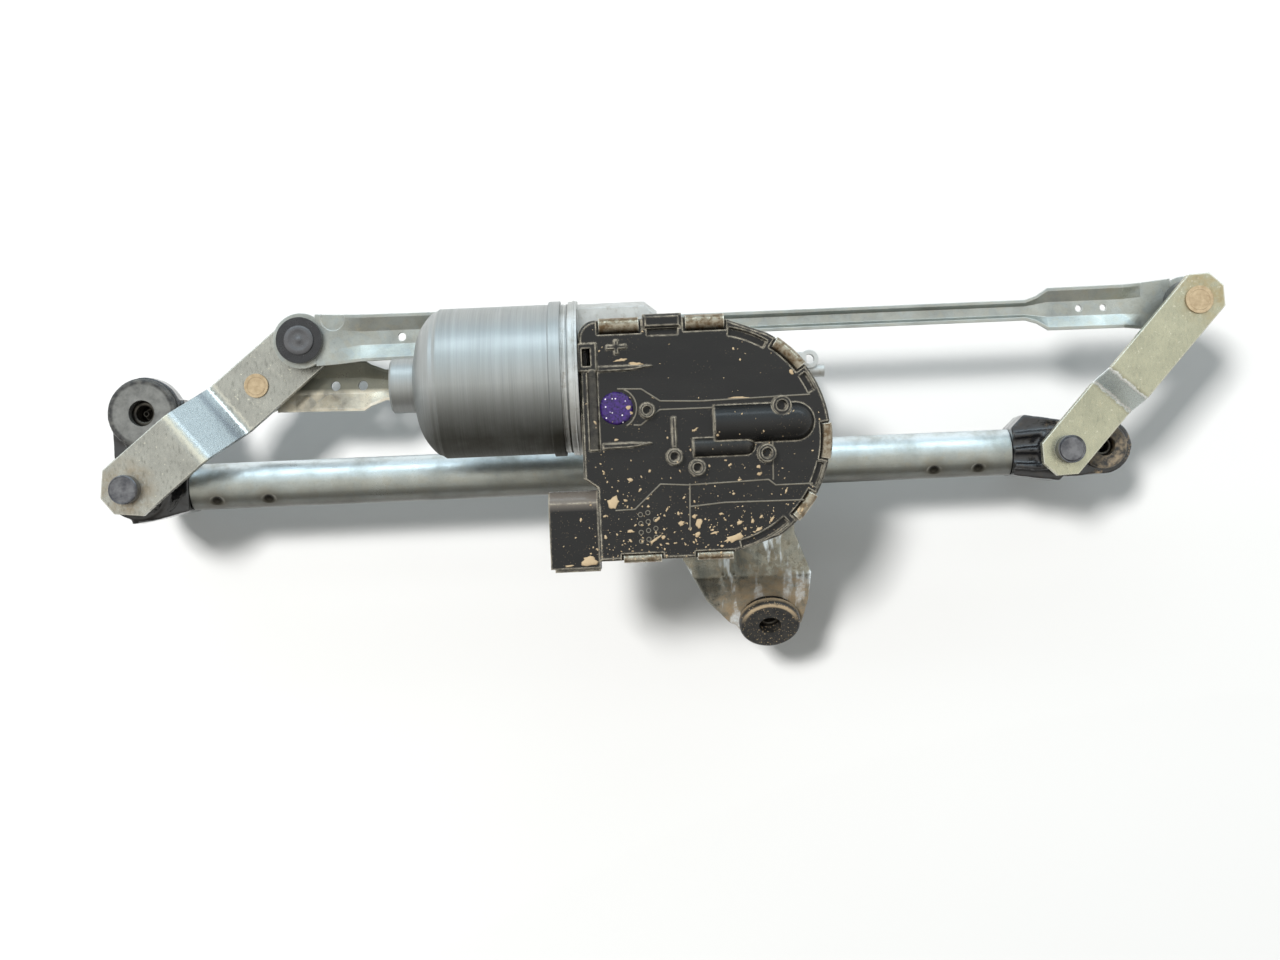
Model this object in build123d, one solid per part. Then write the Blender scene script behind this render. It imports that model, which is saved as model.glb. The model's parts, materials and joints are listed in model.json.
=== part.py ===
from build123d import *
from math import atan2, cos, degrees, hypot, radians, sin, tan
import os

# Front windscreen wiper linkage with its motor, in millimetres.
# X runs along the frame tube from the left wiper spindle to the right one, Z points to the motor cover.
# The origin is on the left spindle's axis, in the middle of the thread that takes the wiper arm's nut.

# ---- driving dimensions ----
TUBE_Z = 63.0            # height of the frame tube's axis over the origin
SPAN = 496.0             # between the two wiper spindles
TUBE_R, TUBE_WALL = 12.5, 2.0
TUBE_X0, TUBE_X1 = 27.5, 471.0
SPIGOT_R, SPIGOT_L = TUBE_R - TUBE_WALL - 0.02, 56.0
CRIMP_X = (TUBE_X0 + 14, TUBE_X0 + 42, TUBE_X1 - 42, TUBE_X1 - 18)
CRIMP_TURNS = (40, 152)     # round the tube, from its top towards the low side

LEFT_ANGLE, LEFT_REACH, LEFT_MOTOR_REACH = 39.0, 119.5, 84.5
RIGHT_ANGLE, RIGHT_REACH = 47.6, 101.0
LEVER_Z = 27.5           # underside of both levers at the spindles, over the tube's axis
LEFT_T, LEFT_DROP, LEFT_W, LEFT_BENDS = 5.0, 22.0, 32.0, (41.0, 65.0)
RIGHT_T, RIGHT_RISE, RIGHT_W, RIGHT_BENDS = 4.5, 11.0, 25.0, (35.5, 44.5)
LEVER_END = 14.0         # how far a lever's end runs past its last hole

SPINDLE_R, LEFT_HEAD_R, RIGHT_HEAD_R, SPINDLE_NECK_R = 6.0, 7.7, 7.0, 7.0
SPINDLE_LOW = -46.0      # end of the spindle's bearing length, over its tapered seat
CIRCLIP_Z, CIRCLIP_T = -44.5, 1.4
BUSH_R, RUN_GAP = 8.5, 0.03
BUSHES_Z = ((12, 26), (-42, -28))
ARM_THREAD_R, ARM_THREAD_L = 4.0, 12.0

BALL_R, BALL_OUT = 6.5, 8.5
SOCKET_R, SOCKET_GAP, SOCKET_WALL = 12.2, 0.05, 1.0
SOCKET_MOUTH, SOCKET_TOP = 5.6, 8.2     # from the ball's centre to the socket's open and closed ends
SOCKET_L, CLOSED_SOCKET_L = SOCKET_MOUTH + SOCKET_TOP, SOCKET_MOUTH + BALL_R + SOCKET_WALL
PIVOT_GAP = 0.3          # axial clearance at the two pivots that are open in the model
EYE_R, EYE_HOLE_R = 14.8, 11.0
LINK_T, LONG_WEB_Z, MOTOR_WEB_Z = 2.5, 20.0, -6.5
MOTOR_LINK_STEP = 7.0    # how much lower the motor link lies at its crank end
LINK_RIM, FLAT_RIM = 5.5, 2.7    # height of a link's rims, and where they run out towards an eye

CRANK_X, CRANK_Y, CRANK_Z, CRANK_T = 290.0, 21.5, 5.5, 5.0
CRANK_PIN = (349.0, 46.0)
MOTOR_Y, MOTOR_Z = 46.0, 68.0
CAN_R, CAN_X0, CAN_X1 = 37.5, 172.5, 234.0
WHEEL_R, WHEEL_TEETH = 18.6, 41
WORM_CORE_R, WORM_TOOTH_H, WORM_PITCH, WORM_L = 4.4, 1.2, 3.1, 36.0
SHAFT_R, SHAFT_END = 4.0, 340.0

BOX_X0, BOX_Y0, BOX_Y1 = 243.0, -45.2, 71.6
BOX_ARC_X, BOX_ARC_Y, BOX_ARC_R = 305.8, 12.3, 57.6
HOUSING_Z0, HOUSING_Z1, COVER_Z1 = 46.0, 84.0, 100.0
CORNER_R = 8.0
NECK_X1 = 242.4         # end of the neck's round flange, just short of the cover

EDGE_BEVEL, POCKET = 1.1, 3.3
BOSSES = ((274.9, 26.9, 3.6), (287.2, 4.0, 3.8), (339.8, 26.5, 4.6), (331.8, 3.9, 4.3), (298.1, -1.7, 3.8))
FACE_RIBS = ((261.3, 58.2, 9.6, 1.9), (261.3, 58.2, 1.9, 6.8), (287.5, 16.0, 1.9, 14.5))
SPEARS = ((252.0, 48.2, 26.5), (253.0, 10.8, 23.7))
EDGE_SLOTS = ((58, 79, 7.4, 3.4), (23, 33, 6.0, 2.4), (-27.5, -15, 5.4, 2.0), (-77, -50, 6.2, 2.4))

LEFT_FIX, RIGHT_FIX, LOWER_FIX = (3.0, 41.0), (521.5, 1.3), (337.5, -82.0)
LOWER_TILT, LOWER_Z = 40.0, -6.0
BRACKET_T, ARM_END_R, ARM_LOW_Y = 2.5, 19.3, -107.0
BRACKET_SCREWS = ((268.0, 20.5), (340.0, 17.4), (296.0, -30.0))
SCREW_R, SCREW_HEAD_R, SCREW_HEAD_H = 3.0, 5.0, 3.5


# ---- helpers; z is counted from the tube's axis ----
def cyl(x, y, z0, z1, r, top_r=None):
    low = Pos(x, y, (z0 + z1) / 2)
    if top_r is None:
        return low * Cylinder(r, z1 - z0)
    return low * Cone(r, top_r, z1 - z0)


def ring(x, y, z0, z1, r, hole):
    return cyl(x, y, z0, z1, r) - cyl(x, y, z0 - 1, z1 + 1, hole)


def rod_x(x0, x1, r, y=MOTOR_Y, z=MOTOR_Z):
    return Pos((x0 + x1) / 2, y, z) * Rot(0, 90, 0) * Cylinder(r, x1 - x0)


def ring_x(x0, x1, r, hole, y=MOTOR_Y, z=MOTOR_Z):
    return rod_x(x0, x1, r, y, z) - rod_x(x0 - 1, x1 + 1, hole, y, z)


def block(x0, x1, y0, y1, z0, z1):
    return Pos((x0 + x1) / 2, (y0 + y1) / 2, (z0 + z1) / 2) * Box(x1 - x0, y1 - y0, z1 - z0)


def slab(points, z0, z1):
    return Pos(0, 0, z0) * extrude(make_face(Polyline(*points, close=True)), z1 - z0)


def turned(line, y, z):
    """A solid of revolution about a line along X; `line` is its closed (x, r) outline."""
    return Pos(0, y, z) * revolve(make_face(line), Axis.X)


def polar(reach, angle, x=0.0, y=0.0):
    return x + reach * cos(radians(angle)), y + reach * sin(radians(angle))


LEFT_BALL = polar(LEFT_REACH, LEFT_ANGLE)
MOTOR_BALL = polar(LEFT_MOTOR_REACH, LEFT_ANGLE)
RIGHT_BALL = polar(RIGHT_REACH, RIGHT_ANGLE, SPAN)
LEFT_UP_Z = LEVER_Z - LEFT_DROP          # underside of the left lever's outer half
LEFT_TOP_Z = LEFT_UP_Z + LEFT_T
RIGHT_UP_Z = LEVER_Z + RIGHT_RISE        # underside of the right lever's outer half
CRANK_WEB_Z = MOTOR_WEB_Z - MOTOR_LINK_STEP
RIGHT_BALL_Z = LONG_WEB_Z + LINK_T + PIVOT_GAP + SOCKET_WALL + BALL_R
CRANK_BALL_Z = CRANK_WEB_Z + LINK_T + PIVOT_GAP + SOCKET_WALL + BALL_R



# ---- frame ----
def frame_tube():
    tube = ring_x(TUBE_X0, TUBE_X1, TUBE_R, TUBE_R - TUBE_WALL, 0, 0)
    # dents that lock the tube on the castings' spigots: a wide hollow with a punch mark in it
    for x in CRIMP_X:
        for turn in CRIMP_TURNS:
            y, z = -sin(radians(turn)), cos(radians(turn))
            for r, depth in ((9.0, 1.0), (2.6, 1.7)):
                out = TUBE_R + r - depth
                tube -= Pos(x, y * out, z * out) * Sphere(r)
    return tube


def spigot(x0, x1):
    """The casting's plug in the tube's end, waisted where the tube is dented into it."""
    body = rod_x(x0, x1, SPIGOT_R, 0, 0)
    for x in CRIMP_X:
        if x0 < x < x1:
            body -= ring_x(x - 5, x + 5, TUBE_R, TUBE_R - TUBE_WALL - 1.2, 0, 0)
    return body


def barrel_cuts(x):
    """The spindle's bore, with a seat for a bush at each end."""
    cut = cyl(x, 0, -60, 60, SPINDLE_R + 1.2)
    (top_z0, top_z1), (low_z0, low_z1) = BUSHES_Z
    return cut + cyl(x, 0, top_z0, top_z1 + 1, BUSH_R) + cyl(x, 0, low_z0 - 1, low_z1, BUSH_R)


def left_bearing_housing():
    fx, fy = LEFT_FIX
    body = cyl(0, 0, -42, 26, 13.0) + cyl(0, 0, -14, 14, 16.5)
    body += slab([(-4, -19), (27.4, -13.2), (27.4, 13.2), (8, 17), (-12, 10)], -12.5, 12.5)
    body += slab([(-15.5, 0), (-16.6, 38), (22.5, 44), (27, 13)], -6, 1)
    body += slab([(19, 12), (29, 26), (24, 48), (12, 46)], -6, 4)
    body += cyl(fx, fy, -6, 6, 20.0)
    for offset in (-9, 3, 15):
        body += slab([(offset, 5), (offset + 3, 5), (offset + 3, 38), (offset, 38)], -6, 4.5)
    body += spigot(20, TUBE_X0 + SPIGOT_L)
    body -= cyl(fx, fy, -20, 20, 14.0)
    return body - barrel_cuts(0)


def right_bearing_housing():
    fx, fy = RIGHT_FIX
    body = cyl(SPAN, 0, -42, 26, 11.5) + cyl(SPAN, 0, -14, 12, 12.5)
    body += slab([(471.1, -13), (496, -16.5), (503, -10), (500, 16), (478, 20), (471.1, 13)], -12.5, 12.5)
    body += cyl(fx, fy, -6, 6, 15.5)
    body += slab([(496, -15), (521, -14), (521, 16.5), (496, 15.4)], -6, 6)
    for y0 in (-9, -1, 7):
        body += slab([(471.5, y0), (492, y0 * 1.2), (492, y0 * 1.2 + 3), (471.5, y0 + 3)], 10, 15)
    body += spigot(TUBE_X1 - SPIGOT_L, 475)
    body -= cyl(fx, fy, -20, 20, 10.0)
    return body - barrel_cuts(SPAN)


def bushes(x):
    return [ring(x, 0, z0, z1, BUSH_R, SPINDLE_R + RUN_GAP) for z0, z1 in BUSHES_Z]


def grommet(x, y, body_r, flange_r, hole):
    """Rubber grommet in a mounting eye: a waist between two flanges, the upper one rounded."""
    body = cyl(x, y, -10, 10.5, body_r) + cyl(x, y, 6, 10.5, flange_r) + cyl(x, y, -10, -6, flange_r)
    body = fillet(body.edges().filter_by(GeomType.CIRCLE).sort_by(Axis.Z)[-1], 1.6)
    return body - cyl(x, y, -20, 20, hole)


def mount_sleeve(x, y, outer, hole):
    return ring(x, y, -11, 5, outer, hole)


def lower_place():
    return Pos(*LOWER_FIX, LOWER_Z) * Rot(LOWER_TILT, 0, 0)


def motor_bracket():
    """Pressed steel bracket: a flat seat for the gearbox, a saddle on the tube and a sloping arm."""
    t, seat = BRACKET_T, TUBE_R
    fall = tan(radians(LOWER_TILT))
    y_bend = LOWER_FIX[1] + (seat - LOWER_Z) / fall
    z_end = seat + (ARM_LOW_Y - y_bend) * fall
    up = t / cos(radians(LOWER_TILT))
    side = Polyline(
        (44, seat), (y_bend, seat), (ARM_LOW_Y, z_end), (ARM_LOW_Y, z_end + up),
        (y_bend - t * tan(radians(LOWER_TILT / 2)), seat + t), (44, seat + t), close=True,
    )
    sheet = extrude(Plane.YZ * make_face(side), 400)
    arm = [(289, -46), (303.5, -74), (317, -88), (356, -88), (359, -75), (360, -60), (352, -38)]
    outline = slab([(262, 42), (262, -20), *arm, (352, 22), (326, 42)], -120, 60)
    sheet = sheet & outline
    sheet += lower_place() * Pos(0, 0, t / 2) * Cylinder(ARM_END_R, t)
    saddle = ring_x(262, 352, TUBE_R + t, TUBE_R, 0, 0) & block(262, 352, -20, 20, 5, 30)
    sheet += saddle
    # pair of stiffening beads that run over the bend and down the arm
    for dx in (0, 6):
        sheet += Pos(311 + dx, y_bend + 9, seat + t) * Rot(0, 0, 12) * Box(2.6, 20, 2.4)
        sheet += lower_place() * Pos(dx - 24, 26, t) * Rot(0, 0, 12) * Box(2.6, 12, 2.4)
    sheet -= cyl(CRANK_X, CRANK_Y, 0, 40, 12.5)
    for x, y in BRACKET_SCREWS:
        sheet -= cyl(x, y, 0, 40, 3.3)
    sheet -= lower_place() * Cylinder(14, 30)
    return sheet


def screw(x, y, z_head, z_tip, r, head_r, head_h):
    """A pan-head screw whose head is at z_head and whose shank runs to z_tip."""
    way = 1 if z_head > z_tip else -1
    low, high = sorted((z_head, z_tip))
    body = cyl(x, y, low, high, r)
    a, b = sorted((z_head, z_head + way * head_h))
    body += cyl(x, y, a, b, head_r)
    recess = Pos(x, y, z_head + way * head_h) * extrude(RegularPolygon(head_r * 0.5, 6), 1.4, both=True)
    return body - recess


def bracket_screws():
    return [screw(x, y, TUBE_R - 0.02, HOUSING_Z0 - 4, SCREW_R, SCREW_HEAD_R, SCREW_HEAD_H)
            for x, y in BRACKET_SCREWS]


# ---- levers and spindles ----
def spindle(x, head_r):
    """Wiper spindle: head over the lever, bearing length, tapered seat and thread for the wiper arm."""
    body = cyl(x, 0, SPINDLE_LOW, LEVER_Z, SPINDLE_R)
    body += cyl(x, 0, LEVER_Z - 0.9, LEVER_Z, 9.5)
    body += cyl(x, 0, LEVER_Z, LEVER_Z + 12, SPINDLE_NECK_R)
    body += cyl(x, 0, LEVER_Z + 5.0, LEVER_Z + 12.0, head_r)
    body = chamfer(body.edges().filter_by(GeomType.CIRCLE).sort_by(Axis.Z)[-1], 1.0)
    body -= ring(x, 0, CIRCLIP_Z, CIRCLIP_Z + CIRCLIP_T, 9, SPINDLE_R - 0.8)
    body += cyl(x, 0, SPINDLE_LOW - 11, SPINDLE_LOW, 4.9, SPINDLE_R)
    body += cyl(x, 0, -TUBE_Z - ARM_THREAD_L / 2, SPINDLE_LOW - 11, ARM_THREAD_R)
    return chamfer(body.edges().filter_by(GeomType.CIRCLE).sort_by(Axis.Z)[0], 0.8)


def circlip(x):
    clip = ring(x, 0, CIRCLIP_Z, CIRCLIP_Z + CIRCLIP_T, 9.0, SPINDLE_R - 0.8)
    return clip - block(x - 2, x + 2, -12, 0, CIRCLIP_Z - 2, CIRCLIP_Z + 4)


def strip(bends, thickness, width, radii):
    """A bent flat bar along local X; `bends` are its (u, z) underside points from end to end."""
    top = [(u, z + thickness) for u, z in bends]
    outline = make_face(Polyline(*bends, *reversed(top), close=True))
    body = extrude(Plane.XZ * outline, width / 2, both=True)
    for (u, z), r in zip(bends[1:-1], radii):
        across = body.edges().filter_by(Axis.Y)
        near = [e for e in across if abs(e.center().X - u) < 3 and abs(e.center().Z - z) < 8]
        body = fillet(near, r)
    return body


def octagon_ends(u0, u1, width, cut):
    """Outline of a bar from u0 to u1 whose corners are cut off by `cut`."""
    h = width / 2
    return [(u0, h - cut), (u0, cut - h), (u0 + cut, -h), (u1 - cut, -h), (u1, cut - h), (u1, h - cut),
            (u1 - cut, h), (u0 + cut, h)]


def left_lever():
    z = LEVER_Z
    start, end = LEFT_BENDS
    bends = [(-20, z), (start, z), (end, z - LEFT_DROP), (LEFT_REACH + 20, z - LEFT_DROP)]
    bar = strip(bends, LEFT_T, LEFT_W, (12, 5))
    bar &= slab(octagon_ends(-LEVER_END + 0.8, LEFT_REACH + LEVER_END + 0.5, LEFT_W, 10.5), -40, 60)
    bar = Rot(0, 0, LEFT_ANGLE) * bar
    bar -= cyl(0, 0, z - 5, z + 20, SPINDLE_NECK_R)
    bar -= cyl(*LEFT_BALL, -10, 20, 4.0)
    return bar - cyl(*MOTOR_BALL, -10, 20, 4.0)


def right_lever():
    z = LEVER_Z
    start, end = RIGHT_BENDS
    bends = [(-20, z), (start, z), (end, z + RIGHT_RISE), (RIGHT_REACH + 20, z + RIGHT_RISE)]
    bar = strip(bends, RIGHT_T, RIGHT_W, (4, 4))
    bar &= slab(octagon_ends(-LEVER_END, RIGHT_REACH + LEVER_END, RIGHT_W, 7.5), -40, 80)
    bar = Pos(SPAN, 0, 0) * Rot(0, 0, RIGHT_ANGLE) * bar
    bar -= cyl(SPAN, 0, z - 5, z + 20, SPINDLE_NECK_R)
    return bar - cyl(*RIGHT_BALL, 20, 60, 4.0)


def ball_stud(x, y, face_z, plate_t, ball_z, head_r):
    """Ball stud riveted through a lever plate; face_z is the plate's face that the ball stands on."""
    way = 1 if ball_z > face_z else -1
    span = sorted((face_z - way * plate_t, face_z))
    body = cyl(x, y, *span, 4.0)
    body += cyl(x, y, *sorted((face_z, face_z + way * 1.2)), 5.6)
    body += cyl(x, y, *sorted((face_z, ball_z)), 3.8)
    body += Pos(x, y, ball_z) * Sphere(BALL_R)
    body -= cyl(x, y, *sorted((ball_z + way * (BALL_R - 0.7), ball_z + way * 20)), 9)
    head = face_z - way * plate_t
    return body + cyl(x, y, *sorted((head, head - way * 1.4)), head_r)


def socket(x, y, ball_z, way, length, groove_z=None):
    """Plastic ball socket, open towards the stud; `way` points to its closed side."""
    mouth = ball_z - way * SOCKET_MOUTH
    body = cyl(x, y, *sorted((mouth, mouth + way * length)), SOCKET_R)
    body -= Pos(x, y, ball_z) * Sphere(BALL_R + SOCKET_GAP)
    body -= cyl(x, y, *sorted((mouth - way, mouth + way * 1.6)), 5.4)
    if groove_z is not None:
        body -= ring(x, y, groove_z, groove_z + LINK_T, SOCKET_R + 1, EYE_HOLE_R)
    return body


def socket_cap(x, y, z, way, r=7.9):
    disc = cyl(x, y, *sorted((z, z + way * 1.3)), r)
    return disc + cyl(x, y, *sorted((z + way * 1.2, z + way * 1.7)), 1.6)


# ---- links ----
def trough(x, half, web_half, web_z, rim=LINK_RIM):
    """Cross-section of a pressed link at x: a flat web between two sloping sides, `rim` high."""
    edge = max(rim - 2.2, 0.4)
    right = [(web_half + 1.2, 0), (half, edge), (half, rim), (half - 1.6, rim), (web_half, LINK_T)]
    left = [(-y, z) for y, z in reversed(right)]
    points = [(x, y, web_z + z) for y, z in right + left]
    return make_face(Polyline(*points, close=True))


def pressed(stations):
    """The link's body through its cross-sections, from one eye to the other."""
    return loft([trough(*station) for station in stations], ruled=True)


def along(p, q):
    return Pos(p[0], p[1], 0) * Rot(0, 0, degrees(atan2(q[1] - p[1], q[0] - p[0])))


def long_link():
    length = hypot(RIGHT_BALL[0] - LEFT_BALL[0], RIGHT_BALL[1] - LEFT_BALL[1])
    z = LONG_WEB_Z
    body = cyl(0, 0, z, z + LINK_T, EYE_R) + cyl(length, 0, z, z + LINK_T, EYE_R)
    body += pressed([
        (8, 13.8, 6.0, z, FLAT_RIM), (20, 13.2, 5.0, z, FLAT_RIM), (32, 12.4, 3.6, z), (82, 12, 3.6, z),
        (98, 5.4, 2.2, z), (length - 86, 5.4, 2.2, z), (length - 80, 7.4, 3.0, z),
        (length - 74, 11.2, 3.9, z),
        (length - 34, 11.4, 3.9, z), (length - 24, 12.2, 4.6, z, FLAT_RIM),
        (length - 8, 13.8, 6.0, z, FLAT_RIM),
    ])
    body -= cyl(0, 0, z - 5, z + 20, EYE_HOLE_R)
    body -= cyl(length, 0, z - 5, z + 20, EYE_HOLE_R - 2)
    body -= cyl(17.5, 11.2, z + LINK_T - 0.5, z + 20, 6.4)
    for x, r in ((54, 2.2), (length - 57, 1.8), (length - 44, 1.8)):
        body -= cyl(x, 0, z - 5, z + 20, r)
    return along(LEFT_BALL, RIGHT_BALL) * body


def motor_link():
    length = hypot(CRANK_PIN[0] - MOTOR_BALL[0], CRANK_PIN[1] - MOTOR_BALL[1])
    z, low = MOTOR_WEB_Z, CRANK_WEB_Z
    body = cyl(0, 0, z, z + LINK_T, EYE_R) + cyl(length, 0, low, low + LINK_T, EYE_R)
    body += pressed([
        (8, 14, 6.0, z, FLAT_RIM), (18, 14, 5.0, z, FLAT_RIM), (30, 14, 4.3, z), (56, 14, 4.3, z),
        (60, 11.4, 3.8, z), (68, 8.4, 3.0, z), (length - 60, 8, 2.8, z), (length - 48, 8, 2.8, low),
        (length - 34, 8.4, 3.0, low), (length - 24, 10, 4.0, low, FLAT_RIM),
        (length - 8, 13.8, 6.0, low, FLAT_RIM),
    ])
    body -= cyl(0, 0, z - 5, z + 20, EYE_HOLE_R)
    body -= cyl(length, 0, low - 5, low + 4, EYE_HOLE_R - 2)
    for x in (40, 55):
        body -= cyl(x, 0, z - 5, z + 20, 2.6)
    return along(MOTOR_BALL, CRANK_PIN) * body


def eye_cap(x, y, web_z):
    """Closing cap pressed into a link's eye from below."""
    body = cyl(x, y, web_z, web_z + LINK_T - 0.4, EYE_HOLE_R - 2) + cyl(x, y, web_z - 4, web_z, SOCKET_R)
    return body + cyl(x, y, web_z - 5.2, web_z - 4, 7.9)


# ---- motor ----
def pole_housing():
    """Deep-drawn motor can, closed at its nose and rolled at its open rim."""
    x0, x1, r = CAN_X0, CAN_X1, CAN_R
    outer = Polyline((x0 - 25, 0), (x0 - 25, 12.6), (x0 - 24, 13.8), (x0 - 13, 13.8), (x0 - 12, 17.5))
    dome = ThreePointArc((x0 - 12, 17.5), (x0 - 8.4, 28.5), (x0 - 2.4, 35.6))
    rest = Polyline(
        (x0 - 2.4, 35.6), (x0 - 0.6, 36.2), (x0 + 1.2, r), (x1 - 6, r), (x1 - 5.6, r + 1.4), (x1, r + 1.4),
        (x1, r - 2), (x0 + 2, r - 2), (x0 - 10, 16), (x0 - 12, 11), (x0 - 22, 11), (x0 - 22, 0), (x0 - 25, 0),
    )
    return turned(outer + dome + rest, MOTOR_Y, MOTOR_Z)


def magnets():
    shell = ring_x(CAN_X0 + 6, CAN_X0 + 46, CAN_R - 2.05, 30.0)
    return [shell & (Pos(CAN_X0 + 26, MOTOR_Y, MOTOR_Z) * Rot(turn, 0, 0) * Pos(0, 0, 34) * Box(50, 44, 40))
            for turn in (45, 135, 225, 315)]


def armature_shaft():
    """Shaft from the can's nose to the gear housing's far wall, with the worm cut on it."""
    start = CRANK_X - WORM_L / 2
    body = rod_x(CAN_X0 - 20, SHAFT_END, SHAFT_R) + rod_x(start - 3, start + WORM_L + 4, WORM_CORE_R + 0.2)
    centre = Vector(start, MOTOR_Y, MOTOR_Z)
    turns = Helix(WORM_PITCH, WORM_L, WORM_CORE_R, direction=(1, 0, 0), center=centre)
    tooth = Plane(origin=turns @ 0, x_dir=(turns @ 0 - centre).normalized(), z_dir=turns % 0)
    flank = [(-0.5, -0.9), (WORM_TOOTH_H, -0.35), (WORM_TOOTH_H, 0.35), (-0.5, 0.9)]
    profile = tooth * Polygon(*flank, align=None)
    return body + sweep(profile, turns, is_frenet=True)


def armature_core():
    body = ring_x(CAN_X0 + 10, CAN_X0 + 42, 29.0, 4.0)
    for i in range(10):
        slot = Pos(CAN_X0 + 26, MOTOR_Y, MOTOR_Z) * Rot(36 * i, 0, 0)
        body -= slot * Pos(0, 0, 28) * Box(40, 2.4, 6)
        body -= slot * Pos(0, 0, 20) * Box(40, 6.0, 12)
    return body


def windings():
    coils = [ring_x(CAN_X0 + 3, CAN_X0 + 9.9, 25.5, 8.0), ring_x(CAN_X0 + 42.1, CAN_X0 + 48, 25.5, 8.0)]
    for i in range(10):
        slot = Pos(CAN_X0 + 26, MOTOR_Y, MOTOR_Z) * Rot(36 * i, 0, 0)
        coils.append(slot * Pos(0, 0, 20) * Box(31.8, 5.6, 11.4))
    return coils


def commutator():
    body = ring_x(CAN_X0 + 49, CAN_X0 + 58, 11.0, 4.0)
    for i in range(10):
        slit = Pos(CAN_X0 + 54, MOTOR_Y, MOTOR_Z) * Rot(36 * i + 18, 0, 0) * Pos(0, 0, 10.6)
        body -= slit * Box(12, 0.6, 1.6)
    return body


def brush_holder():
    plate = ring_x(CAN_X0 + 52, CAN_X0 + 55, 34.0, 13.0)
    for side in (-1, 1):
        plate += Pos(CAN_X0 + 54, MOTOR_Y + side * 21, MOTOR_Z) * Box(8, 14, 9)
        plate -= Pos(CAN_X0 + 54, MOTOR_Y + side * 20, MOTOR_Z) * Box(5.2, 17, 6.2)
    return plate


def brushes():
    return [Pos(CAN_X0 + 54, MOTOR_Y + side * 16.4, MOTOR_Z) * Box(5.0, 10, 6.0) for side in (-1, 1)]


def armature_bearings():
    hole = SHAFT_R + RUN_GAP
    places = ((CAN_X0 - 21, CAN_X0 - 13.5, 10.9), (239, 246, 9.0), (332, 339, 7.0))
    return [ring_x(x0, x1, r, hole) for x0, x1, r in places]


# ---- gearbox ----
def box_outline(inset):
    """The gearbox's D-shaped outline, drawn in by `inset`."""
    r = BOX_ARC_R - inset
    left, low, high = BOX_X0 + inset, BOX_Y0 + inset, BOX_Y1 - inset
    top = polar(r, 60, BOX_ARC_X, BOX_ARC_Y)
    bottom = polar(r, -58, BOX_ARC_X, BOX_ARC_Y)
    shoulder_x = BOX_ARC_X - 12
    side = Polyline(bottom, (shoulder_x + 14, low), (left + 6, low), (left + 6, -9.5), (left, -5),
                    (left, high - CORNER_R))
    nick = CORNER_R * (1 - cos(radians(45)))
    corner = ThreePointArc((left, high - CORNER_R), (left + nick, high - nick), (left + CORNER_R, high))
    shoulder = Polyline((left + CORNER_R, high), (shoulder_x + 16, high), top)
    arc = ThreePointArc(top, (BOX_ARC_X + r, BOX_ARC_Y), bottom)
    return make_face(side + corner + shoulder + arc)


def box_slab(inset, z0, z1):
    return Pos(0, 0, z0) * extrude(box_outline(inset), z1 - z0)


def gear_housing():
    """Die-cast gear housing: flange and neck towards the motor, open tray under the cover."""
    tray = box_slab(1.5, HOUSING_Z0, HOUSING_Z1)
    neck = rod_x(CAN_X1, 276, 37.0) + ring_x(CAN_X1 + 4, NECK_X1, 38.5, 20)
    slope = Pos(276, MOTOR_Y, MOTOR_Z) * Rot(0, 90, 0) * Pos(0, 0, 3) * Cone(37.0, 32.0, 6)
    tray += (neck + slope) - block(NECK_X1, 300, -60, 100, HOUSING_Z1, 130)
    tray -= box_slab(4.5, HOUSING_Z0 + 4, HOUSING_Z1 + 1)
    tray -= rod_x(CAN_X1 - 1, 237, 34.0)
    wall = ring_x(237, 246, 14, 9.0) + ring_x(331, 340, 10, 7.0)
    tray += wall & block(200, 360, -60, 100, 0, HOUSING_Z1)
    tray -= rod_x(200, 343, 6.9)
    tray -= rod_x(237, 260, 9.0)
    tray += cyl(CRANK_X, CRANK_Y, 16, 58, 11.2) + cyl(CRANK_X, CRANK_Y, 34, HOUSING_Z0 + 2, 12, 19)
    for x, y in BRACKET_SCREWS:
        tray += cyl(x, y, TUBE_R + 2.5, HOUSING_Z0 + 4, 6.0, 8.5)
        length, turn = hypot(x - CRANK_X, y - CRANK_Y), degrees(atan2(y - CRANK_Y, x - CRANK_X))
        fin = Pos(length / 2, 0, HOUSING_Z0 - 7) * Box(length, 3, 15)
        tray += Pos(CRANK_X, CRANK_Y, 0) * Rot(0, 0, turn) * fin
    for x, y in BRACKET_SCREWS:
        tray -= cyl(x, y, 0, HOUSING_Z0 - 3, 3.0)
    # closed end of the worm's bore with its stop screw, and a cast loop over it
    tray += rod_x(348, 365, 3.2, 44.8)
    loop = ring(0, 0, -1.6, 1.6, 4.6, 2.4)
    tray += Pos(357.4, 50.4, MOTOR_Z + 3) * loop + block(350, 356, 47, 54, MOTOR_Z + 1.4, MOTOR_Z + 4.6)
    return tray - cyl(CRANK_X, CRANK_Y, 10, 62, 8.0)


def output_bush():
    return ring(CRANK_X, CRANK_Y, 17, 57, 8.0, 6.03)


def output_shaft():
    body = cyl(CRANK_X, CRANK_Y, -1.5, CRANK_Z, 4.0) + cyl(CRANK_X, CRANK_Y, CRANK_Z, CRANK_Z + CRANK_T, 5.0)
    body += cyl(CRANK_X, CRANK_Y, CRANK_Z + CRANK_T, 76, 6.0)
    return body + cyl(CRANK_X, CRANK_Y, CRANK_Z + CRANK_T, CRANK_Z + CRANK_T + 3, 8.5)


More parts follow.
